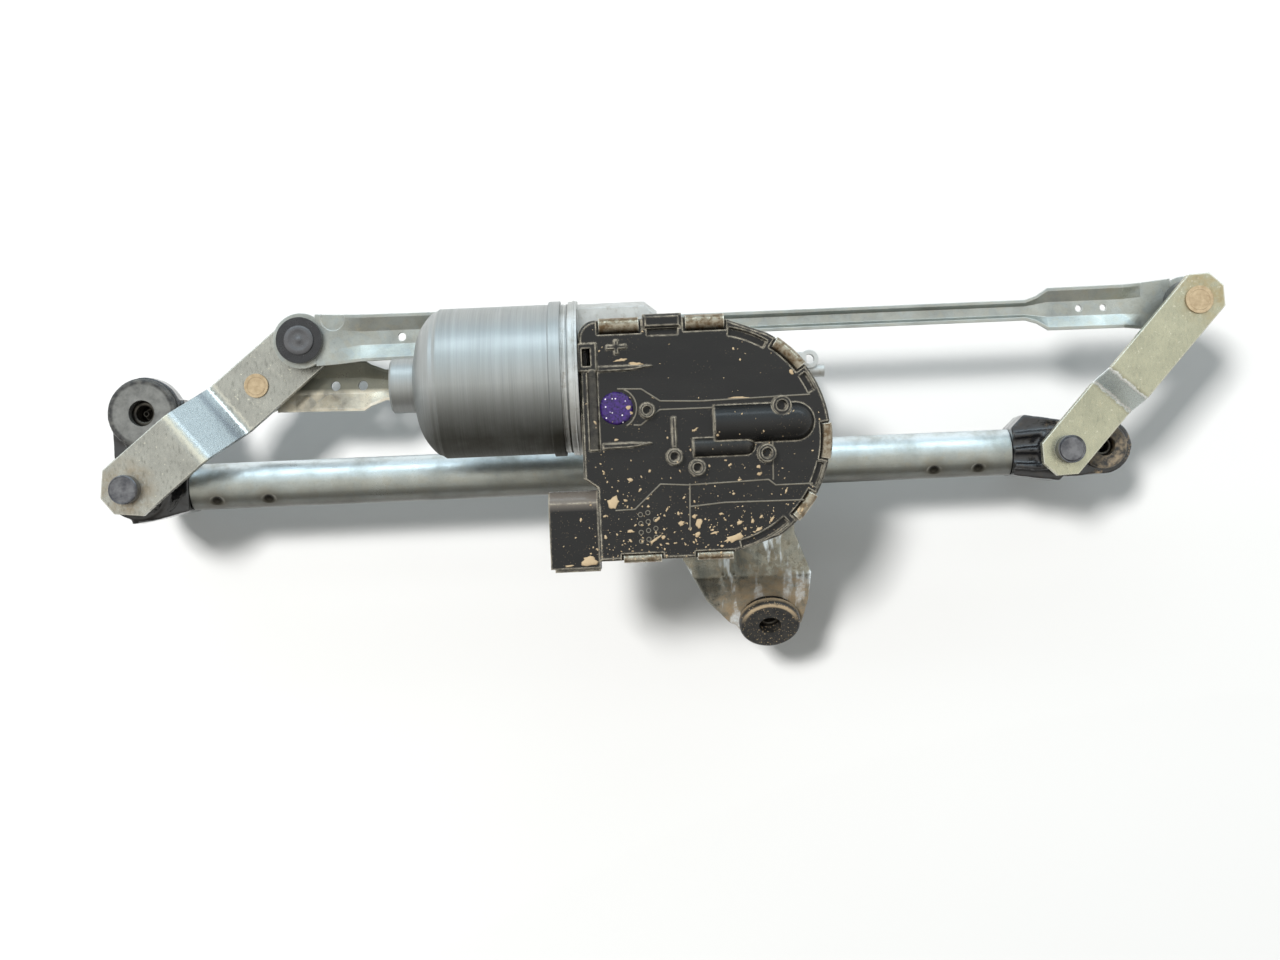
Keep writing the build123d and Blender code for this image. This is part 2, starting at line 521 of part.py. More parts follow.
def worm_wheel():
    z0, z1 = MOTOR_Z - 4.5, MOTOR_Z + 4.5
    body = cyl(CRANK_X, CRANK_Y, z0, z1, WHEEL_R)
    for i in range(WHEEL_TEETH):
        turn = Pos(CRANK_X, CRANK_Y, MOTOR_Z) * Rot(0, 0, 360 / WHEEL_TEETH * i)
        body -= turn * Pos(WHEEL_R, 0, 0) * Rot(-7, 0, 0) * Box(3.2, 1.35, 14)
    body -= ring(CRANK_X, CRANK_Y, z1 - 2.5, z1 + 1, 15.0, 10.0)
    body += cyl(CRANK_X, CRANK_Y, 58.5, 75, 9.0)
    return body - cyl(CRANK_X, CRANK_Y, 50, 80, 6.0)


def motor_crank():
    length = hypot(CRANK_PIN[0] - CRANK_X, CRANK_PIN[1] - CRANK_Y)
    bar = slab([(0, -8.6), (length, -9), (length, 9), (0, 8.6)], CRANK_Z, CRANK_Z + CRANK_T)
    bar += cyl(0, 0, CRANK_Z, CRANK_Z + CRANK_T, 9.0) + cyl(length, 0, CRANK_Z, CRANK_Z + CRANK_T, 9.5)
    bar -= cyl(0, 0, 0, 20, 5.0)
    bar -= cyl(length, 0, 0, 20, 4.0)
    bar += block(14, length - 15, -3.2, 3.2, CRANK_Z + 1, CRANK_Z + CRANK_T + 1.4)
    return along((CRANK_X, CRANK_Y), CRANK_PIN) * bar


def crank_nut():
    nut = Pos(CRANK_X, CRANK_Y, CRANK_Z - 6) * extrude(RegularPolygon(7.4, 6), 5)
    nut += cyl(CRANK_X, CRANK_Y, CRANK_Z - 1.1, CRANK_Z, 7.4)
    return nut - cyl(CRANK_X, CRANK_Y, -10, 20, 4.0)


def dome(x0, x1, y, r, z):
    """A half-round bulge on the cover's face, square at its left end and rounded at its right."""
    body = rod_x(x0, x1 - r, r, y, z) + Pos(x1 - r, y, z) * Sphere(r)
    return body & block(x0 - 1, x1 + 1, y - r, y + r, COVER_Z1 - 1, COVER_Z1 + r)


def gasket():
    return box_slab(2.0, HOUSING_Z1, HOUSING_Z1 + 1.2) - box_slab(4.4, HOUSING_Z1 - 1, HOUSING_Z1 + 3)


def sector(r0, r1, a0, a1, z0, z1):
    """A ring segment about the cover's round end, between two radii and two angles."""
    mid = (a0 + a1) / 2
    points = [polar(r, a, BOX_ARC_X, BOX_ARC_Y) for r, a in
              ((r0, a0), (r1, a0), (r1, mid), (r1, a1), (r0, a1), (r0, mid))]
    edge = Line(points[0], points[1]) + ThreePointArc(points[1], points[2], points[3])
    edge += Line(points[3], points[4]) + ThreePointArc(points[4], points[5], points[0])
    return Pos(0, 0, z0) * extrude(make_face(edge), z1 - z0)


def clip_places():
    """Clips on straight edges as (x0, x1, edge, side, width, foot), and round the end as (a0, a1, width)."""
    foot = HOUSING_Z1 - 6
    straight = [(253.1, 272.6, BOX_Y1, 1, 6.6, HOUSING_Z1 + 0.3), (295.1, 314.0, BOX_Y1, 1, 6.6, foot),
                (260.7, 279.1, BOX_Y0, -1, 2.6, foot), (296.5, 313.7, BOX_Y0, -1, 2.6, foot)]
    return straight, [(36.4, 54.5, 5.4), (-12.5, 5.0, 4.4), (-45.7, -31.2, 4.4)]


def cover():
    """Moulded cover of the gearbox: a face plate in a walled edge with pockets for the clips."""
    z0, z1 = HOUSING_Z1 + 1.2, COVER_Z1
    low = z1 - EDGE_BEVEL
    body = box_slab(0.0, z0, low)
    body += loft([Pos(0, 0, low) * box_outline(0.0), Pos(0, 0, z1) * box_outline(EDGE_BEVEL)], ruled=True)
    body -= box_slab(3.6, z0 - 1, z1 - 6)
    body -= box_slab(9.2, z0 - 1, z1 - 2.8)
    straight, turned_clips = clip_places()
    for x0, x1, edge, side, width, _ in straight:
        y0, y1 = sorted((edge - side * (width + 0.5), edge + side * 3))
        body -= block(x0 - 1, x1 + 1, y0, y1, z1 - POCKET, z1 + 5)
    for a0, a1, width in turned_clips:
        body -= sector(BOX_ARC_R - width - 0.5, BOX_ARC_R + 3, a0 - 1, a1 + 1, z1 - POCKET, z1 + 5)
    for a0, a1, inner, outer in EDGE_SLOTS:
        body -= sector(BOX_ARC_R - inner, BOX_ARC_R - outer, a0, a1, z1 - 4.2, z1 + 3)
    # black hook between the two upper clips, over its slot
    hook = block(274.4, 293.3, BOX_Y1 - 5.2, BOX_Y1 + 1.9, z1 - 8, z1 + 1.6)
    body += chamfer(hook.edges().group_by(Axis.Z)[-1], 1.4)
    body -= block(276.4, 291.3, BOX_Y1 - 8.4, BOX_Y1 - 5.2, z1 - 4.2, z1 + 3)
    # domes over the relay and the choke
    body += dome(307, 356, 18.7, 9.6, z1 - 2.5)
    body += dome(296.5, 326.5, 8.0, 4.6, z1 - 0.8)
    for x, y, r in BOSSES:
        body += cyl(x, y, z1 - 2, z1 + 6.5, r)
        body -= cyl(x, y, z1 + 0.8, z1 + 8, r * 0.55)
    for x, y, w, d in FACE_RIBS:
        body += block(x - w / 2, x + w / 2, y - d / 2, y + d / 2, z1 - 1, z1 + 2.4)
    for x, y, length in SPEARS:
        mid = x + length * 0.6
        blade = [(x, y - 1.6), (mid, y - 1.3), (x + length, y + 0.3), (mid, y + 0.9), (x, y + 0.8)]
        body += slab(blade, z1 - 1, z1 + 2.8)
    body += block(242.6, 251.5, 47, 60.5, z1 - 9, z1 + 2.2)
    body -= block(244.6, 248.6, 49.5, 58, z1 - 12, z1 + 4)
    body += Pos(249, 8.5, z1 + 0.2) * Rot(0, 0, 90) * rod_x(0, 39, 2.4, 0, 0)
    return body


def clip_face(width, foot):
    """Cross-section of a clip: a leg down the cover's wall and a rolled top, with x outwards."""
    top = COVER_Z1 - 2.2
    line = Polyline(
        (-width, top), (-width, top - 1.0), (0.06, top - 1.0), (0.06, foot), (0.95, foot), (0.95, top),
    )
    roll = ThreePointArc((0.95, top), ((0.95 - width) / 2, COVER_Z1 + 0.9), (-width, top))
    return Plane.XZ * make_face(line + roll)


def cover_clips():
    """Steel clips that hold the cover down, rolled over its edge."""
    straight, turned_clips = clip_places()
    clips = []
    for x0, x1, edge, side, width, foot in straight:
        start = x0 if side > 0 else x1
        clips.append(Pos(start, edge, 0) * Rot(0, 0, 90 * side) * extrude(clip_face(width, foot), x1 - x0))
    for a0, a1, width in turned_clips:
        face = Pos(BOX_ARC_R, 0, 0) * clip_face(width, HOUSING_Z1 - 6)
        place = Pos(BOX_ARC_X, BOX_ARC_Y, 0) * Rot(0, 0, a0)
        clips.append(place * revolve(face, Axis.Z, revolution_arc=a1 - a0))
    return clips


def circuit_board():
    board = box_slab(6.5, HOUSING_Z1 + 2.0, HOUSING_Z1 + 3.6)
    return board - cyl(CRANK_X, CRANK_Y, 60, 120, 7)


def board_parts():
    z = HOUSING_Z1 + 3.6
    chips = [(270, 40, 12, 12, 2), (290, 50, 8, 10, 3), (320, 50, 14, 8, 3), (285, -20, 16, 9, 3),
             (310, -15, 9, 9, 4)]
    parts = [block(x - w / 2, x + w / 2, y - d / 2, y + d / 2, z, z + h) for x, y, w, d, h in chips]
    return parts + [cyl(325, 25, z, z + 8, 5), cyl(335, 8, z, z + 7, 4)]


def connector():
    """Connector shroud beside the cover: open to the left, rounded along its upper edge."""
    x0, x1, y0, y1, z0, z1 = 225.0, 249.0, -48.5, -10.5, 62.0, 95.0
    body = block(x0, x1, y0, y1 - 6, z0, z1) + block(x0, x1, y0, y1, z0, z1 - 8)
    body += rod_x(x0, x1, 8, y1 - 8, z1 - 8)
    body += block(x0 + 2, x1, y0 - 1.6, y0 + 1, z0, z1 - 1.5)
    body -= block(x0 - 1, x1 - 5, y0 + 3, y1 - 4, z0 + 4, z1 - 5)
    return body


def connector_pins():
    pins = []
    for row in range(2):
        for col in range(4):
            y, z = -42 + col * 7.0, 73 + row * 9.0
            pins.append(block(231, 243.9, y - 0.5, y + 0.5, z - 0.8, z + 0.8))
    return pins


def write(name, shape):
    """Writes one node, lifted so that the origin is where the header says."""
    solids = shape if isinstance(shape, list) else [shape]
    solids = [s for item in solids for s in item.solids()]
    lifted = [Pos(0, 0, TUBE_Z) * s for s in solids]
    export_step(lifted[0] if len(lifted) == 1 else Compound(children=lifted), f"parts/{name}.step")


NODES = {
    "frame_tube": frame_tube,
    "left_bearing_housing": left_bearing_housing,
    "right_bearing_housing": right_bearing_housing,
    "motor_bracket": motor_bracket,
    "bracket_screws": bracket_screws,
    "left_spindle_bushes": lambda: bushes(0),
    "right_spindle_bushes": lambda: bushes(SPAN),
    "left_grommet": lambda: grommet(*LEFT_FIX, 14.0, 18.7, 7.0),
    "right_grommet": lambda: grommet(*RIGHT_FIX, 10.0, 12.4, 5.5),
    "lower_grommet": lambda: lower_place() * grommet(0, 0, 14.0, 16.6, 6.0),
    "left_mount_sleeve": lambda: mount_sleeve(*LEFT_FIX, 7.0, 4.3),
    "right_mount_sleeve": lambda: mount_sleeve(*RIGHT_FIX, 5.5, 3.3),
    "lower_mount_sleeve": lambda: lower_place() * mount_sleeve(0, 0, 6.0, 3.3),
    "left_spindle": lambda: spindle(0, LEFT_HEAD_R),
    "right_spindle": lambda: spindle(SPAN, RIGHT_HEAD_R),
    "left_circlip": lambda: circlip(0),
    "right_circlip": lambda: circlip(SPAN),
    "left_lever": left_lever,
    "right_lever": right_lever,
    "left_link_stud": lambda: ball_stud(*LEFT_BALL, LEFT_TOP_Z, LEFT_T, LEFT_TOP_Z + BALL_OUT, 6.4),
    "motor_link_stud": lambda: ball_stud(*MOTOR_BALL, LEFT_UP_Z, LEFT_T, LEFT_UP_Z - BALL_OUT, 6.5),
    "right_link_stud": lambda: ball_stud(*RIGHT_BALL, RIGHT_UP_Z, RIGHT_T, RIGHT_BALL_Z, 7.2),
    "crank_stud": lambda: ball_stud(*CRANK_PIN, CRANK_Z, CRANK_T, CRANK_BALL_Z, 6.4),
    "long_link": long_link,
    "motor_link": motor_link,
    "left_link_socket": lambda: socket(*LEFT_BALL, LEFT_TOP_Z + BALL_OUT, 1, SOCKET_L, LONG_WEB_Z),
    "motor_link_socket": lambda: socket(*MOTOR_BALL, LEFT_UP_Z - BALL_OUT, -1, SOCKET_L, MOTOR_WEB_Z),
    "right_link_socket": lambda: socket(*RIGHT_BALL, RIGHT_BALL_Z, -1, CLOSED_SOCKET_L),
    "crank_socket": lambda: socket(*CRANK_PIN, CRANK_BALL_Z, -1, CLOSED_SOCKET_L),
    "left_link_socket_cap": lambda: socket_cap(*LEFT_BALL, LEFT_TOP_Z + BALL_OUT + SOCKET_TOP, 1),
    "motor_link_socket_cap": lambda: socket_cap(*MOTOR_BALL, LEFT_UP_Z - BALL_OUT - SOCKET_TOP, -1),
    "right_eye_cap": lambda: eye_cap(*RIGHT_BALL, LONG_WEB_Z),
    "crank_eye_cap": lambda: eye_cap(*CRANK_PIN, CRANK_WEB_Z),
    "pole_housing": pole_housing,
    "magnets": magnets,
    "armature_shaft": armature_shaft,
    "armature_core": armature_core,
    "windings": windings,
    "commutator": commutator,
    "brush_holder": brush_holder,
    "brushes": brushes,
    "armature_bearings": armature_bearings,
    "gear_housing": gear_housing,
    "output_bush": output_bush,
    "output_shaft": output_shaft,
    "worm_wheel": worm_wheel,
    "motor_crank": motor_crank,
    "crank_nut": crank_nut,
    "cover_gasket": gasket,
    "motor_cover": cover,
    "cover_clips": cover_clips,
    "circuit_board": circuit_board,
    "board_parts": board_parts,
    "connector": connector,
    "connector_pins": connector_pins,
}

os.makedirs("parts", exist_ok=True)
for node, build in NODES.items():
    write(node, build())
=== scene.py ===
import json
import math
import random

import bmesh
import bpy
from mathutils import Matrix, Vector
from mathutils.bvhtree import BVHTree


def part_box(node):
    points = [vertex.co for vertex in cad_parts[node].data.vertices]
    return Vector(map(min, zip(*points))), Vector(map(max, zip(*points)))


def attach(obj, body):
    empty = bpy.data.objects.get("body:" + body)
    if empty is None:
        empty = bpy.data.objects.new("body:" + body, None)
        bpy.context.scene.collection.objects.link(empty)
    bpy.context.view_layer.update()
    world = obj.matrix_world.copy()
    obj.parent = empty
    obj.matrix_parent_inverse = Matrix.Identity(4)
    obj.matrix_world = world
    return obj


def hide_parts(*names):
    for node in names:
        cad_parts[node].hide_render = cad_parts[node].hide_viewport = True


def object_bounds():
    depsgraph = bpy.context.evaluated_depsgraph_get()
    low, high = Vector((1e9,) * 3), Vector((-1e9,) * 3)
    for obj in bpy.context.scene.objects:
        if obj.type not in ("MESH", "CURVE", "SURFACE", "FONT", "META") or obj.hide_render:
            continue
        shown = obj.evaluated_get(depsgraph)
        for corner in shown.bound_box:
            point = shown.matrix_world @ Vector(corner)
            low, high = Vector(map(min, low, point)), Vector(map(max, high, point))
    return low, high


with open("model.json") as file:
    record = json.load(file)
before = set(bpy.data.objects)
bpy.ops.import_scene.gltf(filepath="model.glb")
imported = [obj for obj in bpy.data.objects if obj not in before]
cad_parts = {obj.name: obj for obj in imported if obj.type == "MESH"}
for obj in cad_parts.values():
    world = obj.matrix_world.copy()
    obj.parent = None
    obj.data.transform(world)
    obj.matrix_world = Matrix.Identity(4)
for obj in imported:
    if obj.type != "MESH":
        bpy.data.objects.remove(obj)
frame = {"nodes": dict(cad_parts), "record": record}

MM = 0.001
CAD_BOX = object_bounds()
NODES = frame["nodes"]

# ---- places, all read from the frame ----
COVER_LOW, COVER_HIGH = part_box("motor_cover")
TUBE_LOW, TUBE_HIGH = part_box("frame_tube")
TUBE_Z = (TUBE_LOW.z + TUBE_HIGH.z) / 2
CAN_LOW, CAN_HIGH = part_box("pole_housing")
CLIP_RISE = 0.9 * MM                     # of the clips over the cover's flat face
FACE_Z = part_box("cover_clips")[1].z - CLIP_RISE
MOUNTS = {m["name"]: m for m in frame["record"]["mounts"]}
COVER_CORNER = Vector((COVER_LOW.x, COVER_LOW.y, FACE_Z))
LOWER_EYE = Vector(MOUNTS["lower_fixing"]["pos_m"])
RIGHT_EYE = Vector(MOUNTS["right_fixing"]["pos_m"])
LOWER_AXIS = Vector(MOUNTS["lower_fixing"]["axis"]).normalized()
GROMMET_HALF = 8.0 * MM
LOWER_TOP = LOWER_EYE + LOWER_AXIS * math.copysign(GROMMET_HALF, LOWER_AXIS.z)
LEFT_EYE_TOP = Vector((*MOUNTS["left_fixing"]["pos_m"][:2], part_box("left_grommet")[1].z))


# ---- materials ----
# Scales of noise and cells are in features per metre, and radii, edges and bump depths are in metres.
class Surface:
    """A material being made: a Principled shader and short calls that add nodes in front of it."""

    def __init__(self, name):
        self.material = bpy.data.materials.new(name)
        self.material.use_nodes = True
        self.tree = self.material.node_tree
        self.shader = self.tree.nodes["Principled BSDF"]
        self.place = self.node("ShaderNodeTexCoord").outputs["Object"]

    def node(self, kind, feeds=None, **settings):
        made = self.tree.nodes.new(kind)
        for key, value in settings.items():
            setattr(made, key, value)
        for key, value in (feeds or {}).items():
            self.feed(made.inputs[key], value)
        return made

    def feed(self, socket, value):
        if isinstance(value, bpy.types.NodeSocket):
            self.tree.links.new(value, socket)
        elif value is not None:
            socket.default_value = value

    def stretched(self, scale, turn=(0, 0, 0)):
        feeds = {"Vector": self.place, "Scale": scale, "Rotation": turn}
        return self.node("ShaderNodeMapping", feeds).outputs[0]

    def noise(self, scale, detail=4.0, rough=0.55, where=None, warp=0.0):
        feeds = {"Vector": where or self.place, "Scale": scale, "Detail": detail,
                 "Roughness": rough, "Distortion": warp}
        return self.node("ShaderNodeTexNoise", feeds).outputs[0]

    def cells(self, scale, output="Distance"):
        return self.node("ShaderNodeTexVoronoi", {"Vector": self.place, "Scale": scale}).outputs[output]

    def cell_tone(self, scale, channel):
        """A random grey for each cell, from one channel of its random colour."""
        return self.node("ShaderNodeSeparateColor", {"Color": self.cells(scale, "Color")}).outputs[channel]

    def math(self, operation, a, b=None):
        made = self.node("ShaderNodeMath", operation=operation)
        self.feed(made.inputs[0], a)
        self.feed(made.inputs[1], b)
        return made.outputs[0]

    def plus(self, a, b):
        return self.math("ADD", a, b)

    def less(self, a, b):
        return self.math("SUBTRACT", a, b)

    def times(self, a, b):
        return self.math("MULTIPLY", a, b)

    def most(self, a, b):
        return self.math("MAXIMUM", a, b)

    def span(self, value, low, high, out_low=0.0, out_high=1.0):
        """value from low to high, taken linearly to out_low to out_high and held beyond them."""
        feeds = {"Value": value, "From Min": low, "From Max": high, "To Min": out_low, "To Max": out_high}
        return self.node("ShaderNodeMapRange", feeds).outputs[0]

    def mix(self, factor, a, b):
        made = self.node("ShaderNodeMix", data_type="RGBA")
        self.feed(made.inputs[0], factor)
        self.feed(made.inputs[6], a if isinstance(a, bpy.types.NodeSocket) else (*a, 1))
        self.feed(made.inputs[7], b if isinstance(b, bpy.types.NodeSocket) else (*b, 1))
        return made.outputs[2]

    def vector(self, operation, a, b):
        return self.node("ShaderNodeVectorMath", {0: a, 1: b}, operation=operation)

    def axis(self, name):
        return self.node("ShaderNodeSeparateXYZ", {"Vector": self.place}).outputs[name]

    def near(self, point, radius, edge):
        """1 within radius of a point, fading to 0 over edge."""
        gap = self.vector("DISTANCE", self.place, tuple(point)).outputs["Value"]
        return self.span(gap, radius, radius + edge, 1.0, 0.0)

    def along(self, start, end):
        """Distance of the surface from start, measured along the line towards end, seen from above."""
        way = (Vector(end) - Vector(start)).to_2d().normalized()
        gap = self.vector("SUBTRACT", self.place, tuple(start)).outputs[0]
        return self.vector("DOT_PRODUCT", gap, (way.x, way.y, 0)).outputs["Value"]

    def band(self, value, middle, half, edge):
        """1 where value is within half of middle, fading to 0 over edge."""
        gap = self.math("ABSOLUTE", self.less(value, middle))
        return self.span(gap, half, half + edge, 1.0, 0.0)

    def bump(self, height, distance, strength=1.0, normal=None):
        feeds = {"Height": height, "Distance": distance, "Strength": strength, "Normal": normal}
        return self.node("ShaderNodeBump", feeds).outputs[0]

    def soft_edges(self, radius):
        return self.node("ShaderNodeBevel", {"Radius": radius}, samples=4).outputs[0]

    def edge_highlights(self, radius, reach=0.06):
        """1 along sharp edges, where the rounded and the true normals part, and 0 on the faces: the mask for
        painted edge highlights.
        """
        true = self.node("ShaderNodeNewGeometry").outputs["Normal"]
        agree = self.vector("DOT_PRODUCT", self.soft_edges(radius), true).outputs["Value"]
        return self.span(agree, 1 - reach, 0.999, 1.0, 0.0)

    def set(self, **values):
        names = {"colour": "Base Color", "metal": "Metallic", "rough": "Roughness", "normal": "Normal",
                 "coat": "Coat Weight", "coat_rough": "Coat Roughness", "specular": "Specular IOR Level"}
        for key, value in values.items():
            if key == "colour" and not isinstance(value, bpy.types.NodeSocket):
                value = (*value, 1)
            self.feed(self.shader.inputs[names[key]], value)
        return self.material


SPANGLE, MOTTLE, GRAIN = 260, 45, 2300           # zinc crystals, tarnish clouds, rolled grain of the levers
DENT_SHADE_R, DENT_SHADE_FADE = 0.0022, 0.0014               # painted shade: the black bottom of a dent in the tube
HALO_R, HALO_FADE = 0.0028, 0.006                # the brown stain round it
METAL = 0.92
RIGHT_MUD_FROM, RIGHT_MUD_TO = 0.488, 0.512      # along X, where mud sets in on the right casting
LOW_MUD_FROM, LOW_MUD_TO = -0.04, -0.07          # along Y, where specks set in on the lower mount
MUD_REACH = 0.028                                # how far the mud round the lower mount reaches
MUD = (0.24, 0.17, 0.095)
MUD_PALE = (0.37, 0.285, 0.18)


def mud_colour(s):
    return s.mix(s.noise(700, 3), MUD, MUD_PALE)


def zinc(name, pale, dark, warm, rough=0.30, metal=METAL, mud_at=None, mud_reach=0.0, grime=0.0, dents=(),
         web=None):
    """Zinc-plated or galvanised steel: soft crystal pattern, cloudy tarnish, handling marks and painted
    highlights along its edges.

    mud_at is a point with mud round it, and with it come painted reflection streaks, dark and bright.
    grime is how much darker the tube gets towards its low side, and it also brings a painted highlight
    along the tube's top. dents are points with painted shade at the bottom of each dent and a brown
    stain round it, and web is the line of a link that is dark on one side of it, with dirt and painted
    shadow."""
    s = Surface(name)
    clouds = s.noise(MOTTLE, 5, 0.6)
    grey = s.cell_tone(SPANGLE, 0)
    colour = s.mix(s.span(clouds, 0.35, 0.68), dark, pale)
    colour = s.mix(s.span(grey, 0, 1, 0.0, 0.28), colour, warm)
    stains = s.span(s.noise(MOTTLE * 3.1, 6, 0.7), 0.58, 0.72, 0, 0.55)
    colour = s.mix(stains, colour, warm)
    fine = s.noise(1900, 3, 0.6)
    colour = s.mix(s.span(fine, 0.55, 0.75, 0, 0.35), colour, (0.1, 0.1, 0.1))
    # painted highlight: pale zinc along sharp edges
    colour = s.mix(s.times(s.edge_highlights(0.0007), 0.55), colour, (0.78, 0.78, 0.74))
    for dent in dents:
        colour = s.mix(s.times(s.near(dent, HALO_R, HALO_FADE), 0.5), colour, (0.20, 0.17, 0.12))
        # painted shade: black at the bottom of each dent
        colour = s.mix(s.near(dent, DENT_SHADE_R, DENT_SHADE_FADE), colour, (0.012, 0.010, 0.008))
    if web:
        # dark on one side of the link's web: dirt and painted shadow
        across = s.along(web[0], web[0] + (web[1] - web[0]).cross(Vector((0, 0, 1))))
        colour = s.mix(s.span(across, 0.0015, 0.0045, 0.88, 0), colour, (0.085, 0.09, 0.07))
    if grime:
        # darker towards the tube's low side
        under = s.span(s.axis("Y"), TUBE_LOW.y + 0.009, TUBE_LOW.y + 0.001, 0, grime)
        colour = s.mix(under, colour, (0.05, 0.047, 0.038))
        # painted highlight: a pale blue-white reflection along the tube's top
        top_highlight = s.span(s.axis("Y"), TUBE_HIGH.y - 0.012, TUBE_HIGH.y - 0.003)
        top_highlight = s.times(top_highlight, s.span(clouds, 0.3, 0.55))
        colour = s.mix(s.times(top_highlight, 0.8), colour, (0.80, 0.88, 0.92))
    roughness = s.span(clouds, 0.3, 0.7, rough + 0.1, rough - 0.08)
    roughness = s.plus(roughness, s.span(fine, 0.3, 0.7, 0, 0.12))
    normal = s.bump(fine, 0.00012, 0.5, s.soft_edges(0.0005))
    normal = s.bump(s.noise(160, 3), 0.0006, 0.25, normal)
    if mud_at is not None:
        # painted reflection streaks on the plate: dark ones and bright blue-white highlights
        streak = s.noise(1.0, 4, 0.6, s.stretched((85, 20, 20)))
        colour = s.mix(s.span(streak, 0.52, 0.36, 0, 0.8), colour, (0.09, 0.095, 0.085))
        colour = s.mix(s.span(streak, 0.56, 0.62, 0, 0.85), colour, (0.84, 0.92, 0.97))
        grain = s.span(s.noise(210, 6, 0.75), 0.3, 0.7, -0.5, 0.45)
        ragged = s.plus(s.near(mud_at, mud_reach * 0.6, mud_reach), grain)
        cover = s.span(ragged, 0.25, 0.75)
        thick = s.times(cover, s.span(s.noise(150, 6, 0.75), 0.36, 0.6, 0.25, 0.9))
        colour = s.mix(thick, colour, mud_colour(s))
        roughness = s.plus(roughness, s.times(cover, 0.35))
        metal = s.span(cover, 0, 1, METAL, 0.15)
        normal = s.bump(cover, 0.0003, 0.5, normal)
    return s.set(colour=colour, metal=metal, rough=roughness, normal=normal)


def lever_zinc(name, pale, dark, grain, rust, rust_at, rust_r, line, ramp, bend_shading, etched=0.5):
    """Plated lever steel: grainy rolled surface, stain at one end, a painted reflection on its ramp, painted
    highlights along its edges and painted highlight and shade bands at its bends.

    line is the lever's centre line. ramp is the painted reflection (place along it, half width, colour), and
    each bend band is a painted highlight or painted shade (place along it, half width, soft edge, colour)."""
    s = Surface(name)
    grey = s.cell_tone(GRAIN, 1)
    clouds = s.noise(60, 5, 0.62)
    colour = s.mix(s.span(clouds, 0.3, 0.7), dark, pale)
    colour = s.mix(s.span(grey, 0, 1, 0, 0.3), colour, grain)
    ragged = s.times(s.near(rust_at, rust_r, 0.012), s.span(s.noise(150, 5, 0.7), 0.38, 0.6))
    colour = s.mix(s.times(ragged, 0.75), colour, rust)
    roughness = s.plus(s.span(grey, 0, 1, 0.22, 0.40), s.times(ragged, 0.25))
    stroke = s.noise(1.0, 4, 0.7, s.stretched((820, 300, 500), (0, 0, 0.7)))
    colour = s.mix(s.span(stroke, 0.54, 0.66, 0, etched), colour, (0.15, 0.15, 0.13))
    colour = s.mix(s.span(stroke, 0.44, 0.34, 0, 0.4), colour, grain)
    spots = s.span(s.noise(430, 6, 0.75), 0.61, 0.66, 0, 0.55)
    colour = s.mix(spots, colour, (0.86, 0.82, 0.66))
    # painted highlight: near-white along sharp edges
    colour = s.mix(s.times(s.edge_highlights(0.0010), 0.85), colour, (0.98, 0.97, 0.88))
    place = s.plus(s.along(*line), s.span(s.noise(420, 5, 0.7), 0.3, 0.7, -0.0009, 0.0009))
    # painted reflection: a paler blue-grey band across the ramp
    middle, half, tint = ramp
    colour = s.mix(s.times(s.band(place, middle, half, 0.0008), 0.75), colour, tint)
    # painted highlights and painted shade in bands at the bends
    for middle, half, edge, tint in bend_shading:
        colour = s.mix(s.times(s.band(place, middle, half, edge), 0.85), colour, tint)
    normal = s.bump(s.cells(GRAIN), 0.00006, 0.14, s.soft_edges(0.0008))
    normal = s.bump(clouds, 0.0004, 0.2, normal)
    return s.set(colour=colour, metal=0.9, rough=roughness, normal=normal)


def drawn_can(name, pale, dark, olive):
    """Deep-drawn motor can: fine rings round its axis, darker bands, and darker and olive towards its low
    side.
    """
    s = Surface(name)
    rings = s.noise(1.0, 3, 0.7, s.stretched((2600, 30, 30)))
    bands = s.noise(1.0, 4, 0.6, s.stretched((420, 8, 8)))
    clouds = s.noise(38, 4, 0.6)
    colour = s.mix(s.span(bands, 0.35, 0.65), dark, pale)
    colour = s.mix(s.span(rings, 0.3, 0.7, 0.0, 0.22), colour, (0.2, 0.22, 0.23))
    low = s.span(s.axis("Y"), CAN_LOW.y + 0.036, CAN_LOW.y + 0.010)
    low = s.times(low, s.span(clouds, 0.3, 0.6, 0.85, 1))
    colour = s.mix(s.times(low, 0.94), colour, olive)
    roughness = s.plus(s.span(rings, 0.3, 0.7, 0.34, 0.5), s.span(clouds, 0.3, 0.7, 0.06, -0.06))
    roughness = s.plus(roughness, s.times(low, 0.3))
    normal = s.bump(rings, 0.00008, 0.8, s.soft_edges(0.0005))
    return s.set(colour=colour, metal=0.9, rough=roughness, normal=normal)


def raw_aluminium(name):
    s = Surface(name)
    grain = s.noise(900, 4, 0.7)
    clouds = s.noise(50, 5, 0.6)
    colour = s.mix(s.span(clouds, 0.35, 0.65), (0.42, 0.42, 0.40), (0.62, 0.63, 0.62))
    dirt = s.span(s.noise(170, 6, 0.7), 0.55, 0.7, 0, 0.6)
    colour = s.mix(dirt, colour, (0.22, 0.17, 0.11))
    roughness = s.span(grain, 0.3, 0.7, 0.38, 0.58)
    normal = s.bump(grain, 0.0002, 0.6, s.soft_edges(0.0006))
    return s.set(colour=colour, metal=0.88, rough=roughness, normal=normal)


def turned_steel(name, colour_low, colour_high, rough):
    s = Surface(name)
    clouds = s.noise(220, 4, 0.6)
    fine = s.noise(1600, 3, 0.6)
    colour = s.mix(s.span(clouds, 0.35, 0.65), colour_low, colour_high)
    roughness = s.span(fine, 0.3, 0.7, rough - 0.07, rough + 0.1)
    normal = s.bump(fine, 0.00008, 0.5, s.soft_edges(0.0004))
    return s.set(colour=colour, metal=0.95, rough=roughness, normal=normal)


